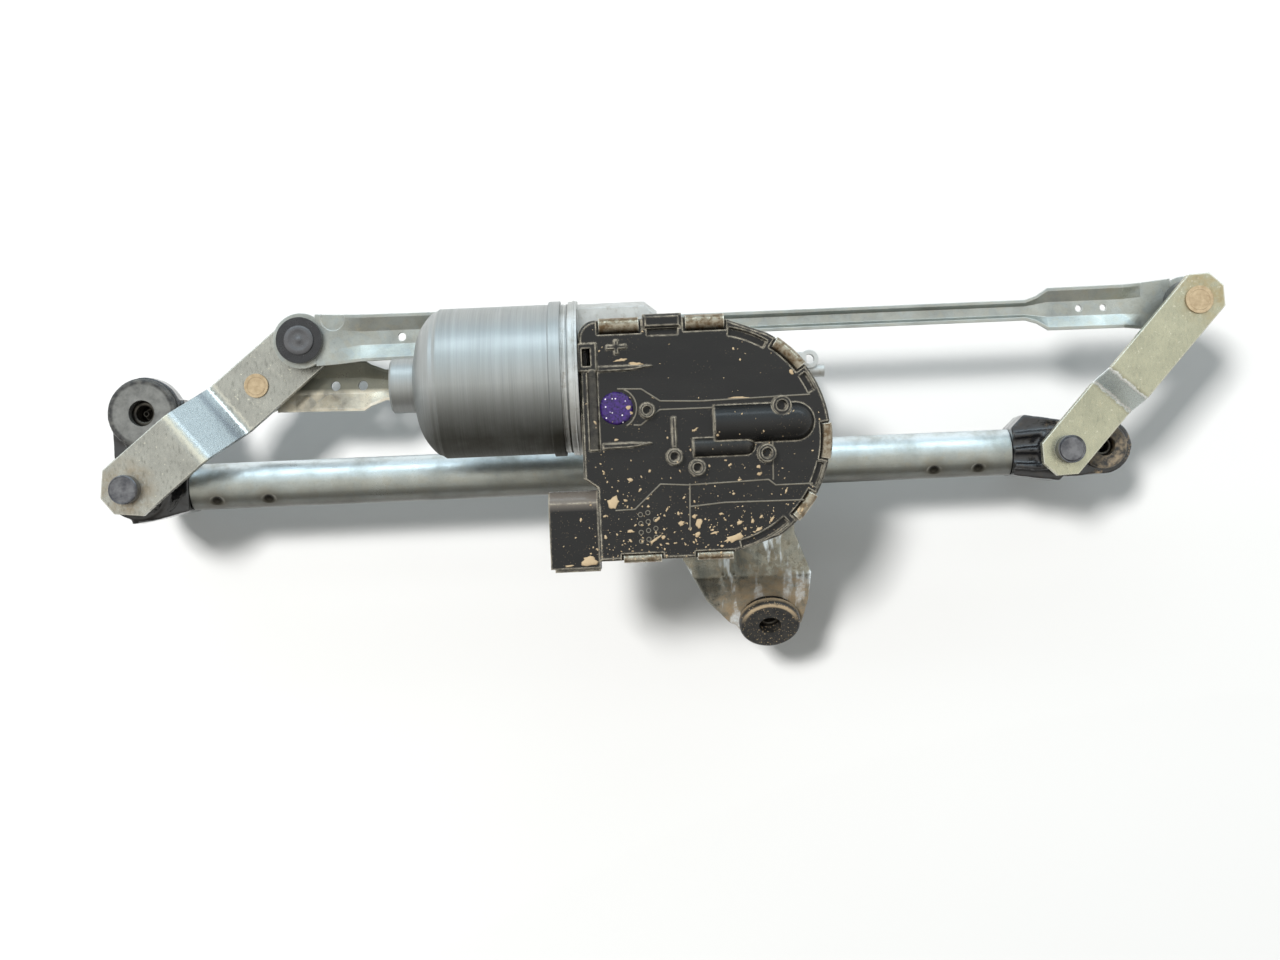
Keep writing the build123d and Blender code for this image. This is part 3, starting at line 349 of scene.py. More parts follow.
def rivet_copper(name):
    s = Surface(name)
    clouds = s.noise(330, 5, 0.65)
    colour = s.mix(s.span(clouds, 0.32, 0.68), (0.34, 0.25, 0.15), (0.54, 0.42, 0.27))
    dark = s.span(s.noise(1200, 4, 0.7), 0.6, 0.72, 0, 0.6)
    colour = s.mix(dark, colour, (0.12, 0.08, 0.05))
    normal = s.bump(s.noise(800, 4, 0.6), 0.00012, 0.6, s.soft_edges(0.0004))
    return s.set(colour=colour, metal=0.6, rough=s.span(clouds, 0.3, 0.7, 0.36, 0.56), normal=normal)


def black_paint(name):
    """Thick glossy black coat on a casting: runs and wrinkles, with dried mud in places."""
    s = Surface(name)
    wrinkle = s.noise(130, 3, 0.5, warp=0.6)
    grime = s.span(s.noise(240, 6, 0.75), 0.55, 0.68)
    right_end = s.span(s.axis("X"), RIGHT_MUD_FROM, RIGHT_MUD_TO)
    mud = s.times(grime, s.plus(s.times(right_end, 0.85), 0.06))
    colour = s.mix(mud, (0.006, 0.006, 0.007), mud_colour(s))
    roughness = s.plus(s.span(wrinkle, 0.3, 0.7, 0.10, 0.2), s.times(mud, 0.5))
    normal = s.bump(wrinkle, 0.0016, 0.55, s.soft_edges(0.0012))
    normal = s.bump(mud, 0.0005, 0.5, normal)
    return s.set(colour=colour, rough=roughness, normal=normal, specular=0.6, coat=0.5, coat_rough=0.05)


def rubber(name):
    s = Surface(name)
    fine = s.noise(1100, 4, 0.7)
    scuff = s.span(s.noise(260, 5, 0.65), 0.42, 0.7)
    colour = s.mix(scuff, (0.016, 0.016, 0.016), (0.09, 0.088, 0.08))
    worn = s.near(LEFT_EYE_TOP, 0.0152, 0.0012)
    worn = s.times(worn, s.span(s.noise(120, 6, 0.7), 0.3, 0.7, 0.25, 0.9))
    colour = s.mix(worn, colour, (0.16, 0.16, 0.15))
    tan = s.times(s.near(RIGHT_EYE, 0.010, 0.016), s.span(s.noise(260, 6, 0.75), 0.42, 0.6))
    colour = s.mix(s.times(tan, 0.85), colour, mud_colour(s))
    black = s.mix(scuff, (0.008, 0.008, 0.008), (0.03, 0.028, 0.024))
    colour = s.mix(s.near(LOWER_TOP, 0.018, 0.004), colour, black)
    specks = s.most(s.span(s.cells(420), 0.18, 0.12), s.span(s.cells(900), 0.2, 0.14))
    low = s.times(specks, s.span(s.axis("Y"), LOW_MUD_FROM, LOW_MUD_TO))
    colour = s.mix(low, colour, mud_colour(s))
    rim = s.less(s.near(LOWER_TOP, 0.0164, 0.0006), s.near(LOWER_TOP, 0.0146, 0.0008))
    rim = s.times(rim, s.span(s.axis("Y"), LOWER_TOP.y - 0.002, LOWER_TOP.y + 0.005))
    rim = s.times(rim, s.span(s.noise(420, 5, 0.7), 0.3, 0.42))
    colour = s.mix(rim, colour, MUD_PALE)
    normal = s.bump(fine, 0.00018, 0.6, s.soft_edges(0.0006))
    return s.set(colour=colour, rough=s.span(scuff, 0, 1, 0.38, 0.6), normal=normal)


def moulded_black(name, film=0.10, dust_and_highlight_from=None):
    """Glossy black moulding with a film of dust, fine mud specks towards its low side and painted
    highlights along its edges.

    dust_and_highlight_from is where along Y a pale ledge starts: dust and a painted highlight."""
    s = Surface(name)
    grain = s.noise(1500, 2, 0.5)
    smear = s.noise(1.0, 5, 0.65, s.stretched((40, 90, 60)))
    dust = s.span(smear, 0.42, 0.75, 0, film)
    colour = s.mix(dust, (0.006, 0.006, 0.006), (0.04, 0.036, 0.031))
    if dust_and_highlight_from is not None:
        # a pale ledge along the top: dust and a painted highlight
        ledge = s.span(s.axis("Y"), dust_and_highlight_from, dust_and_highlight_from + 0.004, 0, 0.85)
        colour = s.mix(ledge, colour, (0.12, 0.105, 0.09))
    fine = s.span(s.cells(900), 0.12, 0.07)
    lower = s.span(s.axis("Y"), COVER_LOW.y + 0.085, COVER_LOW.y + 0.01, 0.0, 1.0)
    patches = s.span(s.plus(s.noise(90, 4, 0.6), s.times(lower, 0.22)), 0.52, 0.64)
    specks = s.times(fine, patches)
    colour = s.mix(s.times(specks, 0.8), colour, mud_colour(s))
    # painted highlights along the edges, in a dusty tan
    edges = s.times(s.edge_highlights(0.0013), s.span(s.noise(330, 4, 0.6), 0.35, 0.6, 0.25, 1.0))
    colour = s.mix(s.times(edges, 0.85), colour, (0.40, 0.36, 0.28))
    roughness = s.plus(s.span(smear, 0.4, 0.7, 0.2, 0.36), s.times(specks, 0.5))
    normal = s.bump(grain, 0.00005, 0.4, s.soft_edges(0.0006))
    normal = s.bump(specks, 0.0002, 0.6, normal)
    return s.set(colour=colour, rough=roughness, normal=normal, specular=0.36)


def violet_paint(name):
    """Inspection paint: deep violet, speckled where the black shows through and where mud has hit it."""
    s = Surface(name)
    speckle = s.noise(900, 5, 0.75)
    colour = s.mix(s.span(speckle, 0.4, 0.62), (0.008, 0.003, 0.03), (0.04, 0.016, 0.12))
    colour = s.mix(s.span(s.cells(420), 0.17, 0.11), colour, (0.62, 0.58, 0.62))
    normal = s.bump(speckle, 0.00015, 0.6)
    return s.set(colour=colour, rough=s.span(speckle, 0.3, 0.7, 0.22, 0.45), normal=normal)


def dried_mud(name):
    s = Surface(name)
    grain = s.noise(1500, 4, 0.7)
    colour = s.mix(s.span(s.noise(260, 3), 0.3, 0.7), mud_colour(s), MUD_PALE)
    normal = s.bump(grain, 0.00015, 0.7)
    return s.set(colour=colour, rough=s.span(grain, 0.3, 0.7, 0.75, 0.95), normal=normal)


def plain_plastic(name, base, rough):
    s = Surface(name)
    fine = s.noise(1300, 3, 0.6)
    tone = s.noise(180, 4, 0.6)
    colour = s.mix(s.span(tone, 0.35, 0.7, 0, 0.5), base, tuple(min(1.0, c * 1.7 + 0.01) for c in base))
    normal = s.bump(fine, 0.0001, 0.4, s.soft_edges(0.0004))
    return s.set(colour=colour, rough=s.span(fine, 0.3, 0.7, rough - 0.06, rough + 0.1), normal=normal)


def clip_steel(name):
    """Polished spring steel with brown stain and painted highlights along its edges."""
    s = Surface(name)
    streak = s.noise(1.0, 4, 0.6, s.stretched((60, 60, 500)))
    stain = s.span(s.noise(300, 5, 0.7), 0.42, 0.6)
    colour = s.mix(stain, (0.36, 0.32, 0.25), (0.15, 0.10, 0.055))
    # painted highlight: pale along sharp edges
    colour = s.mix(s.times(s.edge_highlights(0.0009), 0.9), colour, (0.90, 0.86, 0.74))
    roughness = s.plus(s.span(streak, 0.3, 0.7, 0.14, 0.3), s.times(stain, 0.2))
    normal = s.bump(streak, 0.00006, 0.4, s.soft_edges(0.0005))
    return s.set(colour=colour, metal=0.95, rough=roughness, normal=normal)


DENT_TURN = math.radians(40)
TUBE_R = (TUBE_HIGH.y - TUBE_LOW.y) / 2
DENT_X = (TUBE_LOW.x + 14 * MM, TUBE_LOW.x + 42 * MM, TUBE_HIGH.x - 42 * MM, TUBE_HIGH.x - 18 * MM)
TUBE_DENTS = [(x, -TUBE_R * math.sin(DENT_TURN), TUBE_Z + TUBE_R * math.cos(DENT_TURN)) for x in DENT_X]
SPINDLE_HEAD = 12 * MM
LEFT_TOP = Vector((0, 0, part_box("left_spindle")[1].z - SPINDLE_HEAD))


def middle_of(node):
    low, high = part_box(node)
    return (low + high) / 2


LEFT_LINE = (middle_of("left_spindle"), middle_of("left_link_stud"))
# painted reflection on the left lever's ramp, then painted highlight and shade bands at its bends
LEFT_RAMP_REFLECTION = (0.053, 0.011, (0.36, 0.395, 0.41))
LEFT_BEND_SHADING = [
    (0.0405, 0.0002, 0.0024, (0.66, 0.61, 0.49)), (0.0595, 0.0004, 0.0022, (0.22, 0.235, 0.25)),
    (0.0640, 0.0002, 0.0008, (0.95, 0.95, 0.92)), (0.0672, 0.0001, 0.0012, (0.60, 0.58, 0.50)),
]
MOTOR_LINE = (middle_of("motor_link_stud"), middle_of("crank_stud"))
RIGHT_LINE = (middle_of("right_spindle"), middle_of("right_link_stud"))
# painted reflection on the right lever's ramp, then painted highlights at its bends
RIGHT_RAMP_REFLECTION = (0.040, 0.0045, (0.74, 0.82, 0.84))
RIGHT_BEND_SHADING = [(0.0362, 0.0002, 0.0005, (1.0, 1.0, 0.98)), (0.0442, 0.0002, 0.0006, (1.0, 1.0, 0.98))]

SLOTS = {
    "zinc_tube": zinc("zinc_tube", (0.46, 0.49, 0.47), (0.33, 0.35, 0.335), (0.42, 0.39, 0.31), grime=0.85,
                      dents=TUBE_DENTS),
    "zinc_plate": zinc("zinc_plate", (0.46, 0.49, 0.47), (0.30, 0.32, 0.31), (0.44, 0.40, 0.30)),
    "grey_zinc_lever": lever_zinc(
        "grey_zinc_lever", (0.42, 0.42, 0.38), (0.29, 0.29, 0.265), (0.50, 0.48, 0.42), (0.34, 0.25, 0.15),
        LEFT_TOP, 0.008, LEFT_LINE, LEFT_RAMP_REFLECTION, LEFT_BEND_SHADING),
    "yellow_zinc_lever": lever_zinc(
        "yellow_zinc_lever", (0.49, 0.485, 0.36), (0.34, 0.345, 0.26), (0.56, 0.51, 0.36), (0.46, 0.36, 0.20),
        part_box("right_link_stud")[1], 0.012, RIGHT_LINE, RIGHT_RAMP_REFLECTION, RIGHT_BEND_SHADING, etched=0.22),
    "can_steel": drawn_can("can_steel", (0.40, 0.41, 0.405), (0.34, 0.35, 0.34), (0.03, 0.027, 0.018)),
    "cast_aluminium": raw_aluminium("cast_aluminium"),
    "bright_steel": clip_steel("bright_steel"),
    "dark_steel": turned_steel("dark_steel", (0.10, 0.10, 0.11), (0.22, 0.22, 0.23), 0.34),
    "copper_rivet": rivet_copper("copper_rivet"),
    "rubber": rubber("rubber"),
    # dark, standing as painted shade inside the mount bores
    "sleeve_steel": turned_steel("sleeve_steel", (0.035, 0.033, 0.03), (0.11, 0.10, 0.085), 0.34),
    "black_socket": plain_plastic("black_socket", (0.010, 0.010, 0.011), 0.28),
    "grey_cap": plain_plastic("grey_cap", (0.045, 0.045, 0.047), 0.2),
    "bush_bronze": turned_steel("bush_bronze", (0.45, 0.28, 0.12), (0.6, 0.4, 0.2), 0.4),
    "magnet_ferrite": plain_plastic("magnet_ferrite", (0.035, 0.034, 0.035), 0.6),
    "core_steel": turned_steel("core_steel", (0.3, 0.3, 0.31), (0.45, 0.45, 0.46), 0.38),
    "copper_wire": turned_steel("copper_wire", (0.55, 0.22, 0.09), (0.72, 0.36, 0.18), 0.3),
    "brush_carbon": plain_plastic("brush_carbon", (0.02, 0.02, 0.02), 0.5),
    "inner_plastic": plain_plastic("inner_plastic", (0.03, 0.03, 0.032), 0.42),
    "wheel_plastic": plain_plastic("wheel_plastic", (0.62, 0.58, 0.48), 0.4),
    "black_casting": black_paint("black_casting"),
    "black_cover": moulded_black("black_cover"),
    "board": plain_plastic("board", (0.02, 0.11, 0.05), 0.4),
}
# Finishes of single nodes that differ from their slot's.
OWN_FINISH = {
    "motor_link": zinc("stained_plate", (0.82, 0.78, 0.66), (0.22, 0.21, 0.18), (0.72, 0.60, 0.40), metal=0.6,
                       web=MOTOR_LINE),
    "connector": moulded_black("connector_black", film=0.05, dust_and_highlight_from=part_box("connector")[1].y - 0.010),
}


def dress_frame():
    """Gives every CAD node the material of its slot in the record."""
    for entry in frame["record"]["subparts"]:
        slots = NODES[entry["node"]].data.materials
        slots.clear()
        slots.append(OWN_FINISH.get(entry["node"], SLOTS[entry["material_slot"]]))


dress_frame()


# ---- pieces: what the CAD's plain solids leave out ----
def new_piece(name, data, material, body):
    piece = bpy.data.objects.new(name, data)
    data.materials.clear()
    data.materials.append(material)
    bpy.context.scene.collection.objects.link(piece)
    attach(piece, body)
    return piece


def mesh_from(name, bm):
    mesh = bpy.data.meshes.new(name)
    bm.normal_update()
    bm.to_mesh(mesh)
    bm.free()
    mesh.shade_smooth()
    return mesh


CLOUDS = bpy.data.textures.new("clouds", "CLOUDS")
CLOUDS.noise_scale = 0.016
CLOUDS.noise_depth = 1
SHEET_VOXEL, SHEET_ROUNDS = 0.6 * MM, 16
CAST_VOXEL, CAST_ROUNDS, CAST_LUMP = 0.8 * MM, 6, 1.6 * MM


def softened(node, material, voxel, rounds, lump=0.0):
    """Stands in for a node of the frame: the same shape with its edges rounded off and its faces uneven."""
    piece = new_piece(node + "_soft", NODES[node].data.copy(), material, "frame")
    remesh = piece.modifiers.new("remesh", "REMESH")
    remesh.mode = "VOXEL"
    remesh.voxel_size = voxel
    remesh.use_smooth_shade = True
    smooth = piece.modifiers.new("smooth", "SMOOTH")
    smooth.factor = 0.5
    smooth.iterations = rounds
    if lump:
        uneven = piece.modifiers.new("uneven", "DISPLACE")
        uneven.texture = CLOUDS
        uneven.texture_coords = "LOCAL"
        uneven.strength = lump
        uneven.mid_level = 0.6
    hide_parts(node)
    return piece


def ridge_curve(name, lines, radius, material):
    """Fine moulded ridges on the cover's face: half-sunk round beads along the given lines."""
    curve = bpy.data.curves.new(name, "CURVE")
    curve.dimensions = "3D"
    curve.bevel_depth = radius
    curve.bevel_resolution = 2
    curve.use_fill_caps = True
    for line in lines:
        spline = curve.splines.new("POLY")
        spline.points.add(len(line) - 1)
        for point, (x, y) in zip(spline.points, line):
            point.co = (COVER_CORNER.x + x * MM, COVER_CORNER.y + y * MM, COVER_CORNER.z, 1)
    return new_piece(name, curve, material, "frame")


def arc_points(x, y, r, a0, a1, steps):
    turns = [math.radians(a0 + (a1 - a0) * i / steps) for i in range(steps + 1)]
    return [(x + r * math.cos(a), y + r * math.sin(a)) for a in turns]


# Lines moulded on the cover's face, in mm from the corner of its box.
CONTOURS = [
    [(18.3, 83.2), (29.9, 82.7), (38.8, 76.5), (58.1, 75.6), (111.5, 76.6)],
    [(25.6, 65.4), (29.1, 65.2), (38.6, 72.3), (64.0, 72.2)],
    [(15.0, 24.4), (24.5, 24.6), (37.3, 36.3), (50.5, 35.3), (89.7, 36.3), (93.0, 33.5), (111.0, 33.5)],
    [(51.1, 24.8), (68.0, 26.1), (106.5, 25.7)],
    [(51.6, 36.0), (50.7, 14.0)],
    [(92.0, 36.0), (92.6, 58.0)],
]
CONTOUR_R, STAMP_LINE_R = 0.42 * MM, 0.25 * MM
PAINT_AT, PAINT_R = (17.6, 73.8), 8.4
PAINT_RISE, PAINT_RAGGED, PAINT_STEPS = 0.12 * MM, 0.02, 48
STAMP_R = 1.05
STAMPS = [(27.0 + 3.6 * i, 9.0 + 4.3 * j + 0.8 * i) for i in range(3) for j in range(4) if i + j < 5]


def cover_lines():
    # the ridges' pale tan: dust and a painted highlight
    dusty_lit_ridge = plain_plastic("dusty_lit_black", (0.10, 0.09, 0.07), 0.28)
    lines = CONTOURS + [arc_points(*PAINT_AT, PAINT_R + 1.4, -62, 66, 12)]
    ridge_curve("cover_contours", lines, CONTOUR_R, dusty_lit_ridge)
    rings = [arc_points(x, y, STAMP_R, 0, 360, 14) for x, y in STAMPS]
    ridge_curve("cover_stamps", rings, STAMP_LINE_R, dusty_lit_ridge)


def surface_of(names):
    """The faces of these CAD nodes as one tree, to lay splashes on."""
    points, faces = [], []
    for name in names:
        node = NODES[name]
        first = len(points)
        points += [node.matrix_world @ v.co for v in node.data.vertices]
        faces += [[first + i for i in p.vertices] for p in node.data.polygons]
    return BVHTree.FromPolygons(points, faces)


def lay_patch(bm, tree, centre, half, turn, height, rng, ragged=0.35, around=9):
    """A domed patch with a ragged edge, lying on what is under it. Skipped where the surface breaks off."""
    edge = [1 + rng.uniform(-ragged, ragged) for _ in range(around)]
    loops = []
    for reach, lift in ((1.0, -0.15), (0.78, 0.7), (0.4, 1.0)):
        loop = []
        for i, wild in enumerate(edge):
            angle = 2 * math.pi * i / around
            out = reach * (1 + (wild - 1) * reach)
            u, v = half[0] * out * math.cos(angle), half[1] * out * math.sin(angle)
            x = centre[0] + u * math.cos(turn) - v * math.sin(turn)
            y = centre[1] + u * math.sin(turn) + v * math.cos(turn)
            hit = tree.ray_cast(Vector((x, y, CAD_BOX[1].z)), Vector((0, 0, -1)))[0]
            if hit is None:
                return
            loop.append(Vector((x, y, hit.z + lift * height)))
        loops.append(loop)
    heights = [p.z for p in loops[0]]
    if max(heights) - min(heights) > 1.6 * max(half):
        return
    rows = [[bm.verts.new(p) for p in loop] for loop in loops]
    for low, high in zip(rows, rows[1:]):
        for i in range(around):
            j = (i + 1) % around
            bm.faces.new((low[i], low[j], high[j], high[i]))
    bm.faces.new(rows[-1])
    bm.faces.new(reversed(rows[0]))


# Larger splashes: place in mm from the corner of the cover, half length and width in mm, turn in degrees.
BIG_SPLASHES = [
    (14.0, 28.4, 3.4, 2.3, 80), (27.3, 33.9, 1.3, 0.6, 60), (30.8, 29.6, 1.0, 0.5, 20),
    (34.9, 19.1, 1.6, 0.9, 40), (46.4, 16.8, 2.0, 1.0, 15), (55.2, 16.5, 2.2, 1.5, 70),
    (72.1, 8.8, 4.6, 1.7, 12), (33.5, 9.5, 3.8, 0.9, 35), (62.5, 11.6, 1.6, 0.6, 10),
    (84.0, 12.5, 2.2, 0.7, 30), (90.6, 17.0, 1.8, 0.6, 50), (55.4, 62.0, 1.8, 0.5, 38),
    (40.0, 24.0, 1.4, 0.5, 62), (78.0, 76.4, 7.0, 0.5, -2), (22.0, 14.0, 1.7, 0.8, 10),
    (20.5, 97.0, 3.2, 0.8, 6), (28.0, 95.0, 3.0, 0.7, -4), (98.0, 30.5, 1.5, 0.5, 70),
    (66.0, 20.6, 1.2, 0.6, 0), (103.5, 21.0, 1.6, 0.6, 62),
]
CONNECTOR_SPLASHES = [
    (1.4, 0.8, 4.3, 2.5, 4), (9.4, 1.2, 1.9, 1.1, 30), (-8.5, -1.6, 2.4, 0.5, 4), (-2.0, 20.5, 1.2, 0.5, 75),
    (-5.0, 12.0, 0.6, 0.4, 20), (-11.0, 8.0, 0.5, 0.3, 50), (3.0, 27.5, 0.7, 0.5, 10),
]
SPLASH_RISE, SPLASH_RAGGED, SPLASH_STEPS = 0.35 * MM, 0.45, 13
SPECKS, SPECK_REACH = 560, 22.0


def mud_splashes():
    """Dried mud on the motor: the larger splashes, then specks that thin out away from its low edge."""
    rng = random.Random(41)
    tree = surface_of(["motor_cover", "connector", "cover_clips"])
    bm = bmesh.new()
    for x, y, length, width, turn in BIG_SPLASHES + CONNECTOR_SPLASHES:
        centre = (COVER_CORNER.x + x * MM, COVER_CORNER.y + y * MM)
        half = (length * MM, width * MM)
        lay_patch(bm, tree, centre, half, math.radians(turn), SPLASH_RISE, rng, SPLASH_RAGGED, SPLASH_STEPS)
    wide = (COVER_HIGH.x - COVER_LOW.x) / MM
    tall = (COVER_HIGH.y - COVER_LOW.y) / MM
    for _ in range(SPECKS):
        y = rng.expovariate(1 / SPECK_REACH) if rng.random() < 0.86 else rng.uniform(0, tall)
        x = rng.uniform(1, wide - 1)
        size = min(0.22 + rng.expovariate(1 / 0.26), 1.5)
        centre = (COVER_CORNER.x + x * MM, COVER_CORNER.y + y * MM)
        half = (size * MM, size * rng.uniform(0.4, 0.9) * MM)
        lay_patch(bm, tree, centre, half, rng.uniform(0, math.pi), size * 0.3 * MM, rng)
    new_piece("mud_splashes", mesh_from("mud_splashes", bm), dried_mud("dried_mud"), "frame")


def paint_mark():
    rng = random.Random(7)
    bm = bmesh.new()
    centre = (COVER_CORNER.x + PAINT_AT[0] * MM, COVER_CORNER.y + PAINT_AT[1] * MM)
    half = (PAINT_R * MM, PAINT_R * MM)
    lay_patch(bm, surface_of(["motor_cover"]), centre, half, 0, PAINT_RISE, rng, PAINT_RAGGED, PAINT_STEPS)
    new_piece("paint_mark", mesh_from("paint_mark", bm), violet_paint("violet_paint"), "frame")


def spun(name, profile, place, axis, body, slot, steps=40, finish=None):
    """A turned piece: its (radius, height) profile in mm, spun about an axis through place.

    It has its slot's finish, or that of the slot named by finish."""
    bm = bmesh.new()
    line = [bm.verts.new((r * MM, 0, z * MM)) for r, z in profile]
    edges = [bm.edges.new(pair) for pair in zip(line, line[1:])]
    bmesh.ops.spin(bm, geom=line + edges, cent=(0, 0, 0), axis=(0, 0, 1), angle=2 * math.pi, steps=steps)
    bmesh.ops.remove_doubles(bm, verts=bm.verts, dist=0.01 * MM)
    bmesh.ops.recalc_face_normals(bm, faces=bm.faces)
    turn = Vector(axis).to_track_quat("Z", "Y").to_matrix().to_4x4()
    turn.translation = Vector(place)
    bm.transform(turn)
    return new_piece(name, mesh_from(name, bm), SLOTS[finish or slot], body)


SLEEVES = [("left", 7.0, 4.3), ("right", 5.5, 3.3), ("lower", 6.0, 3.3)]       # outer and bore radius in mm


def mount_sleeve(side, outer, bore):
    """A mounting sleeve with the hollow pin that stands in it and closes its hole from above."""
    mount = MOUNTS[side + "_fixing"]
    half = mount["dims"]["length_mm"] / 2
    pin = [(0, -half + 0.6), (0.9, -half + 0.6), (0.9, half - 3.4), (1.3, half - 3.0), (1.7, half - 3.4)]
    # the hole's floor, in the dark sleeve finish, hides the floor below: painted shade in the bore
    hole = [(1.9, -half + 2.4), (bore, -half + 2.4), (bore, half - 0.5), (bore + 0.5, half)]
    outside = [(outer - 0.5, half), (outer, half - 0.5), (outer, -half), (0, -half)]
    name = side + "_mount_sleeve"
    piece = spun(name + "_fine", pin + hole + outside, mount["pos_m"], mount["axis"], "frame", "sleeve_steel")
    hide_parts(name)


def capped_socket(side, body):
    """The left joint's cap, with the stepped rim and the centre pip that it has outside."""
    name = side + "_link_socket_cap"
    low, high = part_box(name)
    r, tall = (high.x - low.x) / 2 / MM, (high.z - low.z) / MM
    pip = [(0, tall), (1.1, tall), (1.5, tall * 0.62)]
    step = [(r * 0.58, tall * 0.6), (r * 0.66, tall * 0.84), (r * 0.78, tall * 0.9), (r * 0.86, tall * 0.66)]
    rim = [(r * 0.97, tall * 0.6), (r, tall * 0.35), (r, 0), (0, 0)]
    place = ((low.x + high.x) / 2, (low.y + high.y) / 2, low.z)
    piece = spun(name + "_fine", pip + step + rim, place, (0, 0, 1), body, "grey_cap")
    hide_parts(name)


BEAD_STEPS = 8
RING_REACH, RING_THICK, RING_SUNK = 0.74, 0.28, 0.08       # share of the head's radius, then mm
NECK_BEADS = [(1.2, 1.6), (3.1, 1.6), (6.6, 0.0)]          # mm from the can's rim, mm inside the housing
NECK_BEAD_R, NECK_STEPS = 0.5, 72


def bead(radius, thick, height):
    """Outline of a half-sunk round bead at a radius, for spun()."""
    turns = [2 * math.pi * i / BEAD_STEPS for i in range(BEAD_STEPS + 1)]
    return [(radius + thick * math.cos(a), height + thick * math.sin(a)) for a in turns]


def rivet_ring(name, node, body, slot="copper_rivet"):
    """The ring that a riveting tool leaves on a head, or the raised edge of a spindle's end."""
    low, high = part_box(node)
    head = (high.x - low.x) / 2 / MM
    place = ((low.x + high.x) / 2, (low.y + high.y) / 2, high.z)
    spun(name, bead(head * RING_REACH, RING_THICK, -RING_SUNK), place, (0, 0, 1), body, slot)


def neck_beads():
    """Rolled beads on the casting's neck, beside the motor can's rim."""
    middle = (CAN_HIGH.y + CAN_LOW.y) / 2, (CAN_HIGH.z + CAN_LOW.z) / 2
    neck_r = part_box("gear_housing")[1].y / MM - middle[0] / MM
    for i, (along, inside) in enumerate(NECK_BEADS):
        place = (CAN_HIGH.x + along * MM, *middle)
        finish = "can_steel" if i == 1 else "cast_aluminium"
        outline = bead(neck_r - inside, NECK_BEAD_R, 0)
        spun("neck_bead_" + str(i), outline, place, (1, 0, 0), "frame", "cast_aluminium", NECK_STEPS, finish)


capped_socket("left", "long_link")
rivet_ring("motor_rivet_ring", "motor_link_stud", "left_lever")
rivet_ring("right_rivet_ring", "right_link_stud", "right_lever")
for side in ("left", "right"):
    rivet_ring(side + "_head_ring", side + "_spindle", side + "_lever", "dark_steel")
neck_beads()
cover_lines()
paint_mark()
mud_splashes()
for side, outer, bore in SLEEVES:
    mount_sleeve(side, outer, bore)
muddy_plate = zinc("muddy_plate", (0.36, 0.36, 0.31), (0.13, 0.13, 0.11), (0.36, 0.29, 0.19), rough=0.2,
                   mud_at=LOWER_EYE, mud_reach=MUD_REACH)
softened("motor_bracket", muddy_plate, SHEET_VOXEL, SHEET_ROUNDS)
for side in ("left", "right"):
    casting = side + "_bearing_housing"
    softened(casting, SLOTS["black_casting"], CAST_VOXEL, CAST_ROUNDS, CAST_LUMP)


# ---- the stage: floor, studio light and camera ----
FLOOR_HALF = 6
MIDDLE = (0.25, 0, 0.06)                 # of the object, for the floor and the lights


def floor():
    mesh = bpy.data.meshes.new("floor")
    bm = bmesh.new()
    bmesh.ops.create_grid(bm, x_segments=2, y_segments=2, size=FLOOR_HALF)
    bm.to_mesh(mesh)
    bm.free()
    plane = bpy.data.objects.new("floor", mesh)
    plane.location = (MIDDLE[0], MIDDLE[1], CAD_BOX[0].z)
    bpy.context.scene.collection.objects.link(plane)
    s = Surface("floor")
    colour = s.mix(s.noise(3, 2), (0.56, 0.555, 0.545), (0.58, 0.575, 0.565))
    mesh.materials.append(s.set(colour=colour, rough=0.8))


def area_light(name, place, size, watts, colour=(1, 1, 1), mirrored=True):
    """A softbox aimed at the object's middle; mirrored says whether glossy surfaces show it."""
    lamp = bpy.data.lights.new(name, "AREA")
    lamp.shape = "RECTANGLE"
    lamp.size, lamp.size_y = size
    lamp.energy = watts
    lamp.color = colour
    holder = bpy.data.objects.new(name, lamp)
    holder.location = place
    holder.rotation_euler = (Vector(MIDDLE) - Vector(place)).to_track_quat("-Z", "Y").to_euler()
    holder.visible_glossy = mirrored
    bpy.context.scene.collection.objects.link(holder)


# Brightness and tint of the studio, from its near side (0) over the top (0.5) to its far side (1).
SKY = [
    (0.0, (0.10, 0.09, 0.075)), (0.12, (0.26, 0.25, 0.225)), (0.27, (0.45, 0.44, 0.405)),
    (0.42, (0.60, 0.595, 0.565)), (0.5, (0.68, 0.68, 0.655)), (0.6, (0.75, 0.77, 0.76)),
    (0.72, (0.78, 0.87, 0.91)), (0.86, (0.69, 0.83, 0.90)), (1.0, (0.60, 0.75, 0.85)),
]
SKY_STRENGTH, SKY_FILL = 1.5, 0.82        # as seen in reflections, and as light on matt surfaces


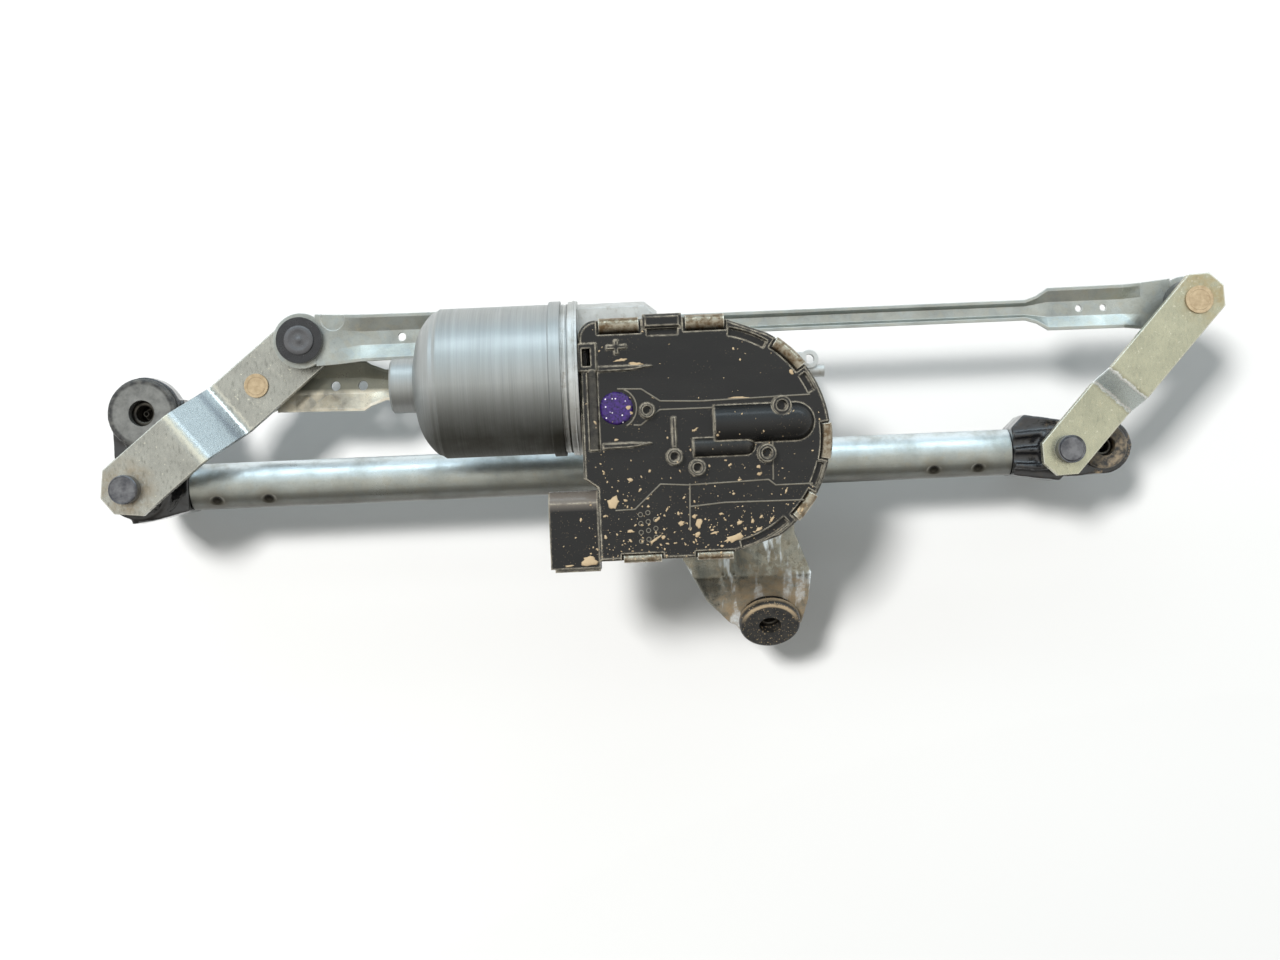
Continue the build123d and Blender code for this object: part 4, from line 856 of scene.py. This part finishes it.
def sky():
    world = bpy.data.worlds.new("studio")
    bpy.context.scene.world = world
    world.use_nodes = True
    tree = world.node_tree
    split = tree.nodes.new("ShaderNodeSeparateXYZ")
    tree.links.new(tree.nodes.new("ShaderNodeTexCoord").outputs["Generated"], split.inputs[0])
    across = tree.nodes.new("ShaderNodeMapRange")
    across.inputs["From Min"].default_value = -1
    tree.links.new(split.outputs["Y"], across.inputs["Value"])
    ramp = tree.nodes.new("ShaderNodeValToRGB")
    tree.links.new(across.outputs[0], ramp.inputs[0])
    stops = ramp.color_ramp.elements
    while len(stops) < len(SKY):
        stops.new(0.5)
    for stop, (place, tint) in zip(stops, SKY):
        stop.position = place
        stop.color = (*tint, 1)
    background = tree.nodes["Background"]
    tree.links.new(ramp.outputs[0], background.inputs["Color"])
    strength = tree.nodes.new("ShaderNodeMapRange")
    strength.inputs["To Min"].default_value = SKY_STRENGTH
    strength.inputs["To Max"].default_value = SKY_FILL
    tree.links.new(tree.nodes.new("ShaderNodeLightPath").outputs["Is Diffuse Ray"], strength.inputs["Value"])
    tree.links.new(strength.outputs[0], background.inputs["Strength"])


KEY_PLACE, KEY_SIZE, KEY_WATTS = (-0.87, 0.99, 3.77), (0.6, 0.6), 230
FAR_PLACE, FAR_SIZE, FAR_WATTS, FAR_TINT = (0.30, 1.15, 0.80), (2.6, 0.22), 6, (0.80, 0.92, 1.0)


def lights():
    area_light("key", KEY_PLACE, KEY_SIZE, KEY_WATTS, mirrored=False)
    area_light("far_softbox", FAR_PLACE, FAR_SIZE, FAR_WATTS, FAR_TINT)


FOCAL_PX, PICTURE_W, SENSOR = 1612, 1280, 36.0
CAMERA_PLACE = (0.2701, -0.0065, 0.943)
CAMERA_ROLL = math.radians(-2.476)


def camera():
    lens = bpy.data.cameras.new("camera")
    lens.sensor_width = SENSOR
    lens.lens = FOCAL_PX / PICTURE_W * SENSOR
    eye = bpy.data.objects.new("camera", lens)
    eye.location = CAMERA_PLACE
    eye.rotation_euler = (0, 0, CAMERA_ROLL)
    bpy.context.scene.collection.objects.link(eye)
    bpy.context.scene.camera = eye
    bpy.context.scene.view_settings.view_transform = "Standard"


floor()
sky()
lights()
camera()
